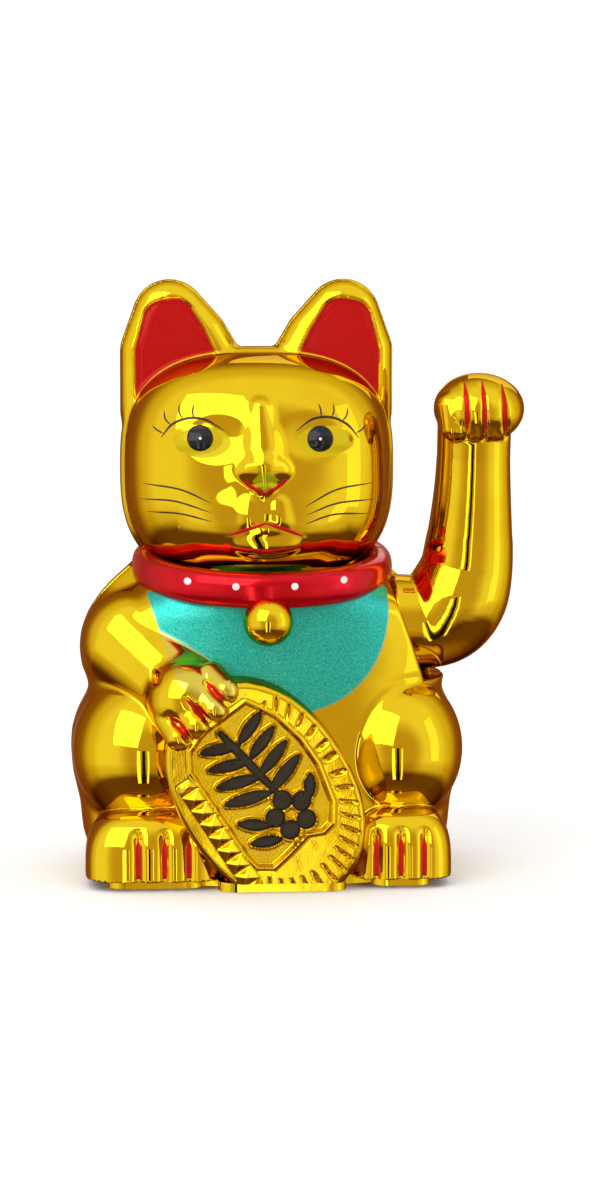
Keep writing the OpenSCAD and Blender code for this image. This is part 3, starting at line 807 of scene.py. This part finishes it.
def painted_gold(name):
    """The plated casing with its painted areas: ear insides, bib, eyes and nose tip."""
    s = Shader(name, Coat_Weight=0.12, Coat_Roughness=0.04, IOR=1.4, Specular_Tint=GOLD_EDGE)
    patches = s.noise(45, 3)
    sparkle = s.noise(2600, 2, 0.7)
    plated = s.mix(s.span(patches, 0.35, 0.7), GOLD, GOLD_WARM)
    red = s.span(s.attribute("red"), 0.12, -0.12)
    teal = s.span(s.sum(s.attribute("bib"), s.sum(sparkle, 0.25, "MULTIPLY")), 0.55, -0.3)
    eye = s.span(s.attribute("eye"), 0.12, -0.12)
    nose = s.span(s.attribute("nose"), 0.25, -0.25)
    teal_colour = s.mix(s.span(sparkle, 0.42, 0.72), TEAL, TEAL_LIGHT)
    red_colour = s.mix(s.span(s.noise(160, 3), 0.3, 0.75), RED, (0.48, 0.001, 0.008, 1))
    colour = s.mix(red, plated, red_colour)
    colour = s.mix(teal, colour, teal_colour)
    colour = s.mix(eye, colour, EYE_YELLOW)
    colour = s.mix(nose, colour, NOSE_GREEN)
    paint = s.sum(red, eye, "MAXIMUM")
    metal = s.sum(s.span(paint, 0, 1, 1.0, 0.12), s.span(teal, 0, 1, 0, 0.3), "SUBTRACT")
    metal = s.sum(metal, s.span(nose, 0, 1, 0, 0.5), "SUBTRACT")
    rough = s.span(patches, 0.3, 0.8, 0.03, 0.06)
    rough = s.sum(rough, s.span(paint, 0, 1, 0, 0.2))
    rough = s.sum(rough, s.span(teal, 0, 1, 0, 0.3))
    s.set(Base_Color=colour, Metallic=metal, Roughness=rough)
    grain = s.sum(sparkle, s.span(teal, 0, 1, 0, 0.16), "MULTIPLY")
    s.bump(s.sum(s.noise(95, 2), grain), 0.00007)
    return s


def paint_finish(name, colour, shade, rough=0.2, coat=0.6, metallic=0.0):
    """Brushed-on enamel; a metallic share stands for lacquer over plating."""
    s = Shader(name, Coat_Weight=coat, Coat_Roughness=0.05, IOR=1.3, Metallic=metallic)
    patches = s.noise(180, 4)
    s.set(Base_Color=s.mix(s.span(patches, 0.35, 0.7), colour, shade))
    s.set(Roughness=s.span(patches, 0.3, 0.8, rough, rough + 0.12))
    s.bump(s.sum(s.noise(420, 3), s.sum(s.noise(60, 1), 0.5, "MULTIPLY")), 0.00006)
    return s


def plastic(name, colour, shade, rough=0.35, grain=900):
    """Moulded plastic with fine grain."""
    s = Shader(name, IOR=1.5)
    patches = s.noise(120, 4)
    s.set(Base_Color=s.mix(s.span(patches, 0.35, 0.7), colour, shade))
    s.set(Roughness=s.span(s.noise(grain, 3), 0.3, 0.8, rough, rough + 0.2))
    s.bump(s.noise(grain, 2), 0.00004)
    return s


def metal(name, colour, shade, rough=0.25, grain=1400):
    """Turned or stamped metal with fine marks."""
    s = Shader(name, Metallic=1.0)
    marks = s.noise(grain, 4)
    s.set(Base_Color=s.mix(s.span(s.noise(200, 4), 0.35, 0.7), colour, shade))
    s.set(Roughness=s.span(marks, 0.3, 0.8, rough, rough + 0.22))
    s.bump(marks, 0.00003)
    return s


def winding(name):
    """Enamelled copper wire wound in layers round an upright bobbin, with painted shade in the grooves
    between turns.
    """
    s = Shader(name, Metallic=1.0, Coat_Weight=0.5)
    wave = s.nodes.new("ShaderNodeTexWave")
    wave.bands_direction = "Z"
    wave.inputs["Scale"].default_value = 1100
    s.links.new(s.coord, wave.inputs["Vector"])
    # The colour bands follow the bump: painted shade darkens the grooves between the turns.
    s.set(Base_Color=s.mix(wave.outputs["Fac"], (0.30, 0.07, 0.02, 1), (0.62, 0.20, 0.06, 1)))
    s.set(Roughness=s.span(s.noise(600, 3), 0.3, 0.7, 0.25, 0.45))
    s.bump(wave.outputs["Fac"], 0.0001)
    return s


def coin_finish():
    """The coin: plated, with a stippled ground and a glossy black motif."""
    s = Shader("coin_plated", Coat_Weight=0.12, Coat_Roughness=0.04, IOR=1.4, Specular_Tint=GOLD_EDGE)
    patches = s.noise(45, 3)
    black = s.span(s.attribute("ink"), 0.10, -0.10)
    ground = s.span(s.attribute("ground"), -0.2, 0.6)
    stipple = s.noise(1500, 2, 0.6)
    plated = s.mix(s.span(patches, 0.35, 0.7), GOLD, GOLD_WARM)
    ink = s.mix(s.span(s.noise(300, 3), 0.3, 0.7), (0.004, 0.004, 0.006, 1), (0.012, 0.011, 0.014, 1))
    s.set(Base_Color=s.mix(black, plated, ink), Metallic=s.span(black, 0, 1, 1, 0))
    s.set(Roughness=s.sum(s.span(patches, 0.3, 0.8, 0.04, 0.08), s.span(ground, 0, 1, 0, 0.12)))
    s.bump(s.sum(s.noise(95, 2), s.sum(stipple, s.span(ground, 0, 1, 0, 0.55), "MULTIPLY")), 0.00012)
    return s


casing_gold = painted_gold("casing_gold").mat
plain_gold = gold_finish("plated_gold").mat
coin_gold = coin_finish().mat
enamel_red = paint_finish("enamel_red", (0.60, 0.002, 0.010, 1), (0.52, 0.001, 0.008, 1), 0.13, 0.12, 0.7).mat
claw_red = paint_finish("claw_red", (0.58, 0.016, 0.010, 1), (0.46, 0.010, 0.004, 1), 0.35, 0.0, 0.6).mat
line_red = paint_finish("line_red", (0.58, 0.008, 0.010, 1), (0.48, 0.006, 0.006, 1), 0.35, 0.0, 0.6).mat
line_brown = paint_finish("line_brown", (0.030, 0.014, 0.003, 1), (0.055, 0.024, 0.004, 1), 0.35, 0.3).mat
pupil_black = paint_finish("pupil_black", (0.006, 0.006, 0.007, 1), (0.014, 0.013, 0.014, 1), 0.1, 0.2).mat
dot_white = paint_finish("dot_white", (0.78, 0.76, 0.76, 1), (0.66, 0.62, 0.63, 1), 0.3).mat


# ---- painted areas of the casing, as distances in millimetres ----

BIB = [(-40, 104), (-42, 99.2), (-32, 70), (-18, 60)] + [
    (1.2 + 38.4 * math.sin(a) ** 0.87, 96 - 38.8 * math.cos(a) ** 0.87)
    for a in np.radians(np.arange(0, 90, 6))
] + [(39.6, 104)]
NOSE_TIP = [(-6.9, 135.2), (-4.8, 137.6), (-2.6, 138.6), (-0.3, 137.6), (2.1, 135.4), (-2.6, 131.6)]


def paint_areas(p, n):
    """Signed distances to the painted areas, large where the surface faces away."""
    away = np.where(n[:, 1] > -0.15, 9.0, 0.0)
    xz = p[:, [0, 2]]
    ear = polygon_sd(ear_side(p), PANEL_OUTLINE) - PANEL_SOFT + 0.1
    red = np.maximum(ear, ears(p) - 0.5) + away
    bib = np.maximum(polygon_sd(xz, BIB), 0.3 - holding_arm(p)) + away
    eye = np.full(len(p), 9.0)
    for x, z in EYES:
        q = (xz - (x, z)) / (8.9, 5.1)
        eye = np.minimum(eye, (np.sqrt((q * q).sum(1)) - 1) * 5.1)
    nose = polygon_sd(xz, NOSE_TIP) + away
    front = p[:, 1] < -20
    return {
        "red": np.clip(red, -9, 9),
        "bib": np.clip(np.where(front & (p[:, 2] < 108), bib, 9.0), -9, 9),
        "eye": np.clip(np.where(front & (p[:, 2] > 110), eye + away, 9.0), -9, 9),
        "nose": np.clip(np.where(p[:, 1] < -34, nose, 9.0), -9, 9),
    }


# ---- the moulded casing ----

for front in (True, False):
    side = "front" if front else "rear"
    y0, y1 = (-58, 1.4) if front else (-1.4, 53)
    for upper in (True, False):
        z0, z1 = (92, 203) if upper else (0, 112)
        x = 50 if upper else 70
        name = f"{side}_casing_{'head' if upper else 'body'}"
        step = HEAD_STEP if upper else BODY_STEP
        step = step if front else step * 1.25
        piece = moulded(name, casing(front, upper), (-x, y0, z0), (x - (2 if upper else 0), y1, z1), step,
                        casing_gold if front else plain_gold, paint_areas if front else None)
        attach(piece, "body")
        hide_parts(f"{side}_shell")
    piece = moulded(f"raised_arm_{side}", arm_casing(front), (41, -38, 62), (90, 20, 175), ARM_STEP,
                    plain_gold, soft=0.45)
    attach(piece, "arm")
    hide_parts(f"arm_{side}_shell")


# ---- collar and bell ----

def ring_half(front, around=120, across=28):
    """Half of the collar's ring, closed at its ends."""
    a, b = COLLAR_SECTION
    start, end = (math.pi, 2 * math.pi) if front else (0, math.pi)
    gap = SEAM / COLLAR_R
    points = []
    for t in np.linspace(start + gap, end - gap, around):
        for k in range(across):
            s = 2 * math.pi * k / across
            e = 2 / COLLAR_POWER
            r = COLLAR_R + a * math.copysign(abs(math.cos(s)) ** e, math.cos(s))
            z = b * math.copysign(abs(math.sin(s)) ** e, math.sin(s))
            x, y = r * math.cos(t), COLLAR_DEPTH * r * math.sin(t)
            c, d = math.cos(COLLAR_LEAN), math.sin(COLLAR_LEAN)
            points.append(COLLAR_AT + (x, c * y - d * z, d * y + c * z))
    faces = [
        (i * across + k, i * across + (k + 1) % across,
         (i + 1) * across + (k + 1) % across, (i + 1) * across + k)
        for i in range(around - 1) for k in range(across)
    ]
    faces.append(tuple(range(across)))
    faces.append(tuple((around - 1) * across + k for k in range(across)))
    return np.array(points), faces


for front in (True, False):
    points, faces = ring_half(front)
    finished(f"collar_{'front' if front else 'rear'}", points, faces, enamel_red, "body")

DOTS = [(-28.1, 102.1), (-12.6, 101.0), (6.8, 101.0), (23.6, 102.3)]
discs("collar_dots", collar, [(place, 1.2) for place in DOTS], 0.28, dot_white, "body", 28, 4)


def turned(name, at, outline, material, body_name, segments=64):
    """A round piece whose outline (radius, height) is turned about a Z axis."""
    points = [at + (0, 0, outline[0][1])]
    for r, z in outline[1:-1]:
        points += [at + (r * math.cos(a), r * math.sin(a), z)
                   for a in np.arange(segments) / segments * 2 * math.pi]
    points.append(at + (0, 0, outline[-1][1]))
    rows = len(outline) - 2
    faces = []
    for i in range(segments):
        j = (i + 1) % segments
        faces.append((0, 1 + j, 1 + i))
        for k in range(rows - 1):
            b = 1 + k * segments
            faces.append((b + i, b + j, b + segments + j, b + segments + i))
        b = 1 + (rows - 1) * segments
        faces.append((b + i, b + j, len(points) - 1))
    return finished(name, np.array(points), faces, material, body_name)


ball = [(BELL_R * math.sin(a), -BELL_R * math.cos(a)) for a in np.linspace(0, math.pi, 49)]
turned("bell", BELL_AT, ball, plain_gold, "body")


# ---- the coin ----

PANEL = [
    (-12.6, 25.4), (-6, 28.0), (11.0, 29.0), (16.4, 20), (19.0, 9), (19.2, -1), (16.4, -14), (12.6, -19.6),
    (9, -20.4), (4, -18.2), (-4, -20.2), (-11, -21.4), (-15.2, -18.6), (-16, -14), (-16, 19.5),
]


def bar(q, a, b, ra, rb):
    """2D distance to a bar that swells in its middle."""
    a, b = np.asarray(a, float), np.asarray(b, float)
    ab = b - a
    h = np.clip((q - a) @ ab / (ab @ ab), 0, 1)
    d = q - a - h[:, None] * ab
    return np.hypot(d[:, 0], d[:, 1]) - (ra + (rb - ra) * np.sin(math.pi * h) ** 0.8)


def motif(q):
    """A blossom with a sprig of broad leaves, as a 2D distance."""
    centre = np.array([3.4, -10.2])
    best = np.full(len(q), 1e9)
    for k in range(5):
        a = math.radians(90 + 72 * k)
        petal = centre + 5.4 * np.array([math.cos(a), math.sin(a)])
        best = smin(best, np.hypot(*(q - petal).T) - 3.3, 0.5)
    best = smax(best, 2.0 - np.hypot(*(q - centre).T), 0.3)
    best = np.minimum(best, bar(q, (3.2, -1.4), (-1.4, 25.0), 1.0, 1.5))
    for k, v in enumerate((-0.5, 5.8, 12.1, 18.4)):
        reach = 13.4 - 0.9 * k
        best = np.minimum(best, bar(q, (1.4, v), (0.8 - reach, v + 4.6), 0.8, 2.1))
        best = np.minimum(best, bar(q, (2.4, v + 0.6), (2.2 + reach, v + 5.0), 0.8, 2.1))
    side_leaves = (
        ((-4.8, -9.6), (-12.6, -3.8)), ((-4.2, -15.4), (-12.6, -11.6)), ((11.4, -9.0), (15.6, -3.0)),
    )
    for ends in side_leaves:
        best = np.minimum(best, bar(q, *ends, 0.8, 2.0))
    return best


def coin_relief(uv, rho, angle):
    """Height above the coin's front plane, and the ink and ground areas."""
    u, v = uv.T
    panel = polygon_sd(uv, PANEL)
    ink = motif(uv)
    sunk = -1.7 * smoothstep(0.5, -0.7, panel)
    ridge = 0.55 * np.exp(-((panel - 0.7) / 0.55) ** 2)
    inside = smoothstep(0.2, -0.8, panel)
    outline = 1.15 * np.exp(-((ink - 0.30) / 0.36) ** 2)
    raised = 0.85 * smoothstep(0.15, -0.35, ink)
    h = sunk + ridge + inside * np.maximum(outline, raised)
    beat = np.abs(((v + 22) / 5.2) % 1 * 2 - 1)
    tooth = np.minimum(1 - beat, 1 - np.abs(u + 20.3) / 3.4)
    h = h + 2.4 * np.maximum(tooth, 0) * smoothstep(-25, -21, v) * smoothstep(19, 15, v)
    right = (u > -4) & (v < 26) | (v < -22)
    arc = angle * (COIN_A + COIN_B) / 2
    near = np.abs((arc / 5.4) % 1 - 0.5) * 5.4
    length = np.maximum(1 - ((rho - 0.855) / 0.105) ** 2, 0)
    h = h - np.where(right, 1.25 * np.maximum(1 - near / 1.05, 0) * length * smoothstep(0.9, 1.7, panel), 0)
    h = h - 3.2 * (1 - np.sqrt(np.maximum(1 - (np.maximum(rho - 0.93, 0) / 0.07) ** 2, 0)))
    return h, np.where(panel < 0, ink, 5.0), smoothstep(0.2, -0.6, panel) * smoothstep(0.2, 0.9, ink)


def coin():
    """The big oval coin, leaning to the upper left, that stands in front of the body."""
    around, rings = (620, 112) if FINE else (300, 56)
    c, s = math.cos(COIN_LEAN), math.sin(COIN_LEAN)
    t = np.arange(around) / around * 2 * math.pi
    e = 2 / COIN_POWER
    rim = np.column_stack([COIN_A * np.sign(np.cos(t)) * np.abs(np.cos(t)) ** e,
                           COIN_B * np.sign(np.sin(t)) * np.abs(np.sin(t)) ** e])
    rho = np.sin(np.linspace(0, 1, rings + 1)[1:] * math.pi / 2 * 0.72) / math.sin(math.pi / 2 * 0.72)
    uv = np.vstack([[(0, 0)]] + [rim * r for r in rho])
    r = np.concatenate([[0], np.repeat(rho, around)])
    angle = np.concatenate([[0], np.tile(t, rings)])
    h, ink, ground = coin_relief(uv, r, angle)
    x = COIN_AT[0] + uv[:, 0] * c - uv[:, 1] * s
    z = COIN_AT[1] + uv[:, 0] * s + uv[:, 1] * c
    top = np.column_stack([x, COIN_FRONT - h, z])
    edge = top[-around:]
    back = np.column_stack([edge[:, 0], np.full(around, COIN_BACK), edge[:, 2]])
    points = np.vstack([top, back, [[COIN_AT[0], COIN_BACK, COIN_AT[1]]]])
    o, n = len(top), around
    faces = []
    for i in range(n):
        j = (i + 1) % n
        faces.append((0, 1 + i, 1 + j))
        for k in range(rings - 1):
            b = 1 + k * n
            faces.append((b + i, b + n + i, b + n + j, b + j))
        b = 1 + (rings - 1) * n
        faces.append((b + i, o + i, o + j, b + j))
        faces.append((o + i, o + n, o + j))
    pad = np.full(n + 1, 5.0)
    piece = make_object("coin", points, faces, coin_gold, None,
                        {"ink": np.concatenate([ink, pad]), "ground": np.concatenate([ground, pad * 0])})
    bm = bmesh.new()
    bm.from_mesh(piece.data)
    bmesh.ops.recalc_face_normals(bm, faces=bm.faces)
    cutting = bmesh.ops.bisect_plane(
        bm, geom=bm.verts[:] + bm.edges[:] + bm.faces[:], plane_co=(0, 0, (CASING_Z + 0.05) * MM),
        plane_no=(0, 0, -1), clear_outer=True)
    rim_edges = [g for g in cutting["geom_cut"] if isinstance(g, bmesh.types.BMEdge)]
    bmesh.ops.holes_fill(bm, edges=rim_edges, sides=0)
    bm.to_mesh(piece.data)
    bm.free()
    piece.data.set_sharp_from_angle(angle=math.radians(50))
    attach(piece, "body")


coin()


# ---- painted strokes ----

WHISKERS = [
    [(-42.2, 133.3), (-30.3, 132.0), (-20.0, 127.7)], [(-42.9, 128.0), (-32.0, 128.0), (-20.3, 124.7)],
    [(-40.6, 123.9), (-30.3, 123.9), (-20.0, 121.7)], [(34.5, 133.3), (21.8, 131.8), (10.9, 126.6)],
    [(35.2, 127.7), (21.8, 127.2), (11.6, 123.9)], [(32.8, 123.0), (20.5, 123.5), (10.8, 120.8)],
]
LIDS = [
    [(-36.2, 149.0), (-32.6, 153.4), (-27.1, 155.6), (-21.6, 155.0), (-15.7, 151.6)],
    [(8.0, 151.3), (13.6, 155.2), (20.0, 155.6), (25.4, 153.0), (29.4, 148.4)],
]
LASHES = [
    [(-29.2, 155.1), (-30.3, 157.4), (-30.2, 160.0)], [(-25.6, 155.6), (-26.0, 157.6), (-25.6, 160.2)],
    [(-33.0, 153.0), (-34.8, 155.0), (-35.2, 157.6)], [(-35.4, 150.2), (-37.4, 151.2), (-39.0, 152.6)],
    [(16.4, 155.6), (16.3, 158.0), (15.6, 160.2)], [(20.0, 155.6), (20.8, 157.8), (20.6, 160.0)],
    [(23.6, 154.2), (25.2, 156.2), (25.6, 158.6)], [(28.4, 150.2), (30.2, 151.0), (32.0, 152.6)],
]
MOUTH = [
    [(-14.5, 117.3), (-8.0, 119.4), (-2.3, 121.3)], [(-2.3, 121.3), (4.0, 119.2), (10.0, 116.8)],
    [(-7.7, 112.6), (-2.0, 111.6), (4.2, 112.8)],
]
NOSE = [[(-9.6, 135.2), (-6.4, 132.9), (-2.7, 130.9)], [(-2.7, 130.9), (1.2, 132.9), (4.6, 135.6)]]

strokes("whiskers", figure, WHISKERS, 0.6, 0.03, line_brown, "body")
strokes("lid_lines", figure, LIDS, 0.85, 0.03, line_brown, "body")
strokes("lashes", figure, LASHES, 0.55, 0.03, line_brown, "body")
strokes("mouth_lines", figure, MOUTH, 1.15, 0.08, line_red, "body", (0.5, 0.5))
strokes("nose_line", figure, NOSE, 1.3, 0.08, line_red, "body", (0.6, 0.8))
strokes("paw_claws", figure, HOLD_CLAWS, 1.7, 0.16, claw_red, "body")
strokes("toe_claws", figure, [[(x, 17.6), (x, 4.2)] for _, claws in FEET for x in claws],
        1.8, 0.16, claw_red, "body", (0.2, 0.9))
strokes("raised_claws", arm, PAW_CLAWS, 1.6, 0.16, claw_red, "arm")
discs("pupils", figure, [(place, PUPIL_R) for place in PUPILS], 0.12, pupil_black, "body")
discs("pupil_dots", figure, [(place, 0.75) for place in PUPILS], 0.2, dot_white, "body", 24, 3)


# ---- finishes of the CAD pieces ----

steel = metal("zinc_steel", (0.50, 0.50, 0.49, 1), (0.38, 0.38, 0.38, 1), 0.28)
nickel = metal("nickel", (0.62, 0.60, 0.55, 1), (0.50, 0.48, 0.44, 1), 0.2)
brass = metal("brass", (0.62, 0.42, 0.14, 1), (0.48, 0.31, 0.10, 1), 0.25)
white = plastic("white_plastic", (0.74, 0.73, 0.69, 1), (0.64, 0.63, 0.58, 1))
ivory = plastic("ivory_plastic", (0.70, 0.66, 0.54, 1), (0.60, 0.56, 0.45, 1))
base_gold = gold_finish("base_gold", (0.05, 0.12))
black = plastic("black_epoxy", (0.012, 0.012, 0.013, 1), (0.03, 0.03, 0.03, 1), 0.4)
navy = plastic("capacitor_sleeve", (0.01, 0.02, 0.10, 1), (0.02, 0.03, 0.14, 1), 0.3)
tan = plastic("resistor_body", (0.52, 0.36, 0.18, 1), (0.42, 0.28, 0.13, 1), 0.4)
board = plastic("phenolic_board", (0.30, 0.13, 0.04, 1), (0.23, 0.09, 0.03, 1), 0.45)
red_wire = plastic("red_insulation", (0.50, 0.01, 0.01, 1), (0.38, 0.01, 0.01, 1), 0.3)
black_wire = plastic("black_insulation", (0.01, 0.01, 0.01, 1), (0.025, 0.025, 0.025, 1), 0.3)
jacket = plastic("cell_jacket", (0.02, 0.10, 0.26, 1), (0.03, 0.14, 0.34, 1), 0.22)
ferrite = plastic("ferrite_magnet", (0.03, 0.03, 0.032, 1), (0.06, 0.06, 0.06, 1), 0.55, 1800)
FINISH = {
    "base_plate": base_gold, "battery_cover": base_gold, "base_screws": steel, "frame_screws": steel,
    "board_screws": steel, "battery_cell": jacket, "cell_spring": nickel, "cell_contact": nickel,
    "lead_red": red_wire, "lead_black": black_wire, "drive_frame": ivory, "bush_inner": brass,
    "bush_outer": brass, "coil_bobbin": white, "coil_winding": winding("copper_winding"),
    "coil_leads": metal("copper_lead", (0.55, 0.17, 0.05, 1), (0.40, 0.11, 0.03, 1), 0.3),
    "circuit_board": board, "transistor": black, "resistors": tan, "capacitor": navy,
    "pendulum_lever": white, "pivot_shaft": steel, "shaft_clip": steel, "pendulum_magnet": ferrite,
    "counterweight": steel, "drive_stub": white, "arm_socket": white,
}
for node, finish in FINISH.items():
    mesh_slots = frame["nodes"][node].material_slots
    for mesh_slot in mesh_slots:
        mesh_slot.material = finish.mat


# ---- studio ----

def emission(name):
    mat = bpy.data.materials.new(name)
    mat.use_nodes = True
    nodes, links = mat.node_tree.nodes, mat.node_tree.links
    nodes.clear()
    out = nodes.new("ShaderNodeOutputMaterial")
    glow = nodes.new("ShaderNodeEmission")
    links.new(glow.outputs[0], out.inputs["Surface"])
    return mat, glow


def card(name, azimuth, elevation, distance, width, height, level, at=(0, 0, 0.1)):
    """A flat panel that only reflections see, facing the figure. Azimuth 0 is the camera's side."""
    away = toward(azimuth, elevation)
    half_w, half_h = width / 2, height / 2
    mesh = bpy.data.meshes.new(name)
    mesh.from_pydata([(-half_w, -half_h, 0), (half_w, -half_h, 0), (half_w, half_h, 0), (-half_w, half_h, 0)],
                     [], [(0, 1, 2, 3)])
    panel = linked(name, mesh)
    panel.location = Vector(at) + away * distance
    panel.rotation_euler = away.to_track_quat("Z", "Y").to_euler()
    mat, glow = emission(name)
    glow.inputs["Color"].default_value = (1, 1, 1, 1)
    glow.inputs["Strength"].default_value = level
    mat.cycles.emission_sampling = "NONE"
    mesh.materials.append(mat)
    only_reflected(panel)
    return panel


def only_reflected(thing):
    for rays in ("camera", "diffuse", "transmission", "shadow", "volume_scatter"):
        setattr(thing, f"visible_{rays}", False)


def ball_mesh(name, radius):
    mesh = bpy.data.meshes.new(name)
    bm = bmesh.new()
    bmesh.ops.create_uvsphere(bm, u_segments=96, v_segments=48, radius=radius)
    bm.to_mesh(mesh)
    bm.free()
    return linked(name, mesh)


ROOM_R = 4.0


def room():
    """The studio that the plating mirrors: pale walls, an amber camera side, a brown floor and far side."""
    dome = ball_mesh("room", ROOM_R)
    mat, glow = emission("room_tone")
    nodes, links = mat.node_tree.nodes, mat.node_tree.links
    mat.cycles.emission_sampling = "NONE"
    place = nodes.new("ShaderNodeTexCoord").outputs["Object"]
    split = nodes.new("ShaderNodeSeparateXYZ")
    links.new(place, split.inputs[0])

    def ramp(value, stops):
        r = nodes.new("ShaderNodeValToRGB")
        r.color_ramp.interpolation = "EASE"
        first, last = r.color_ramp.elements[0], r.color_ramp.elements[1]
        first.position, first.color = stops[0][0], (*stops[0][1], 1)
        last.position, last.color = stops[-1][0], (*stops[-1][1], 1)
        for at, level in stops[1:-1]:
            r.color_ramp.elements.new(at).color = (*level, 1)
        scaled = nodes.new("ShaderNodeMapRange")
        links.new(value, scaled.inputs["Value"])
        scaled.inputs["From Min"].default_value = -ROOM_R
        scaled.inputs["From Max"].default_value = ROOM_R
        links.new(scaled.outputs["Result"], r.inputs["Fac"])
        return r.outputs["Color"]

    pale, sand, brown, dark = (1, 1, 1), (0.80, 0.70, 0.58), (0.34, 0.17, 0.08), (0.16, 0.07, 0.03)
    amber = (0.62, 0.47, 0.32)
    height = ramp(split.outputs["Z"], [
        (0.0, brown), (0.12, dark), (0.22, dark), (0.31, sand), (0.40, pale), (1.0, pale),
    ])
    depth = ramp(split.outputs["Y"], [
        (0.0, amber), (0.04, amber), (0.20, pale), (0.44, pale), (0.62, sand), (0.85, brown), (1.0, brown),
    ])
    both = nodes.new("ShaderNodeMix")
    both.data_type = "RGBA"
    both.blend_type = "MULTIPLY"
    both.inputs[0].default_value = 1.0
    links.new(height, both.inputs[6])
    links.new(depth, both.inputs[7])
    links.new(both.outputs[2], glow.inputs["Color"])
    glow.inputs["Strength"].default_value = 1.1
    dome.data.materials.append(mat)
    only_reflected(dome)


room()
card("key_panel", -36, 34, 1.6, 1.4, 1.5, 3.0)
card("side_panel", 70, 10, 1.7, 0.55, 1.6, 1.6)
card("rear_panel", 155, 35, 1.6, 1.1, 0.9, 1.3)
card("window_left", -13, -20, 1.5, 0.14, 1.3, 2.6)
card("window_right", 4, -20, 1.5, 0.07, 1.3, 2.2)
card("camera_dark", -4, -20, 1.45, 0.14, 1.3, 0.01)

floor_mesh = bpy.data.meshes.new("floor")
floor_mesh.from_pydata([(-9, -9, 0), (9, -9, 0), (9, 9, 0), (-9, 9, 0)], [], [(0, 1, 2, 3)])
floor = linked("floor", floor_mesh)
floor.location.z = FOOT_Z * MM - 0.0001
floor_paint = Shader("floor_paint", Base_Color=(0.93, 0.93, 0.93, 1), Roughness=0.9, Specular_IOR_Level=0.0)
floor_mesh.materials.append(floor_paint.mat)
floor.visible_glossy = False

world = bpy.data.worlds.new("studio")
bpy.context.scene.world = world
world.use_nodes = True
world.node_tree.nodes["Background"].inputs["Color"].default_value = (1, 1, 1, 1)
world.node_tree.nodes["Background"].inputs["Strength"].default_value = 1.14


def lamp(name, azimuth, elevation, distance, size, watts):
    data = bpy.data.lights.new(name, "AREA")
    data.shape = "DISK"
    data.size = size
    data.energy = watts
    lamp_object = linked(name, data)
    away = toward(azimuth, elevation)
    lamp_object.location = Vector((0, 0, 0.1)) + away * distance
    lamp_object.rotation_euler = away.to_track_quat("Z", "Y").to_euler()
    lamp_object.visible_glossy = False


lamp("key", -36, 40, 1.3, 1.0, 3.5)

# ---- camera ----

VIEW_AZ, VIEW_EL, VIEW_DISTANCE = -4, 6.5, 1.4
aim = Vector((0, 0, 100 * MM))
back = toward(VIEW_AZ, VIEW_EL)
camera_data = bpy.data.cameras.new("camera")
camera_data.sensor_fit = "AUTO"
camera_data.sensor_width = 36
camera_data.lens = 124.0
camera_data.shift_x = 0.0354
camera_data.shift_y = -0.0211
camera = linked("camera", camera_data)
camera.location = aim + back * VIEW_DISTANCE
camera.rotation_euler = back.to_track_quat("Z", "Y").to_euler()
bpy.context.scene.camera = camera
bpy.context.scene.view_settings.view_transform = "Standard"
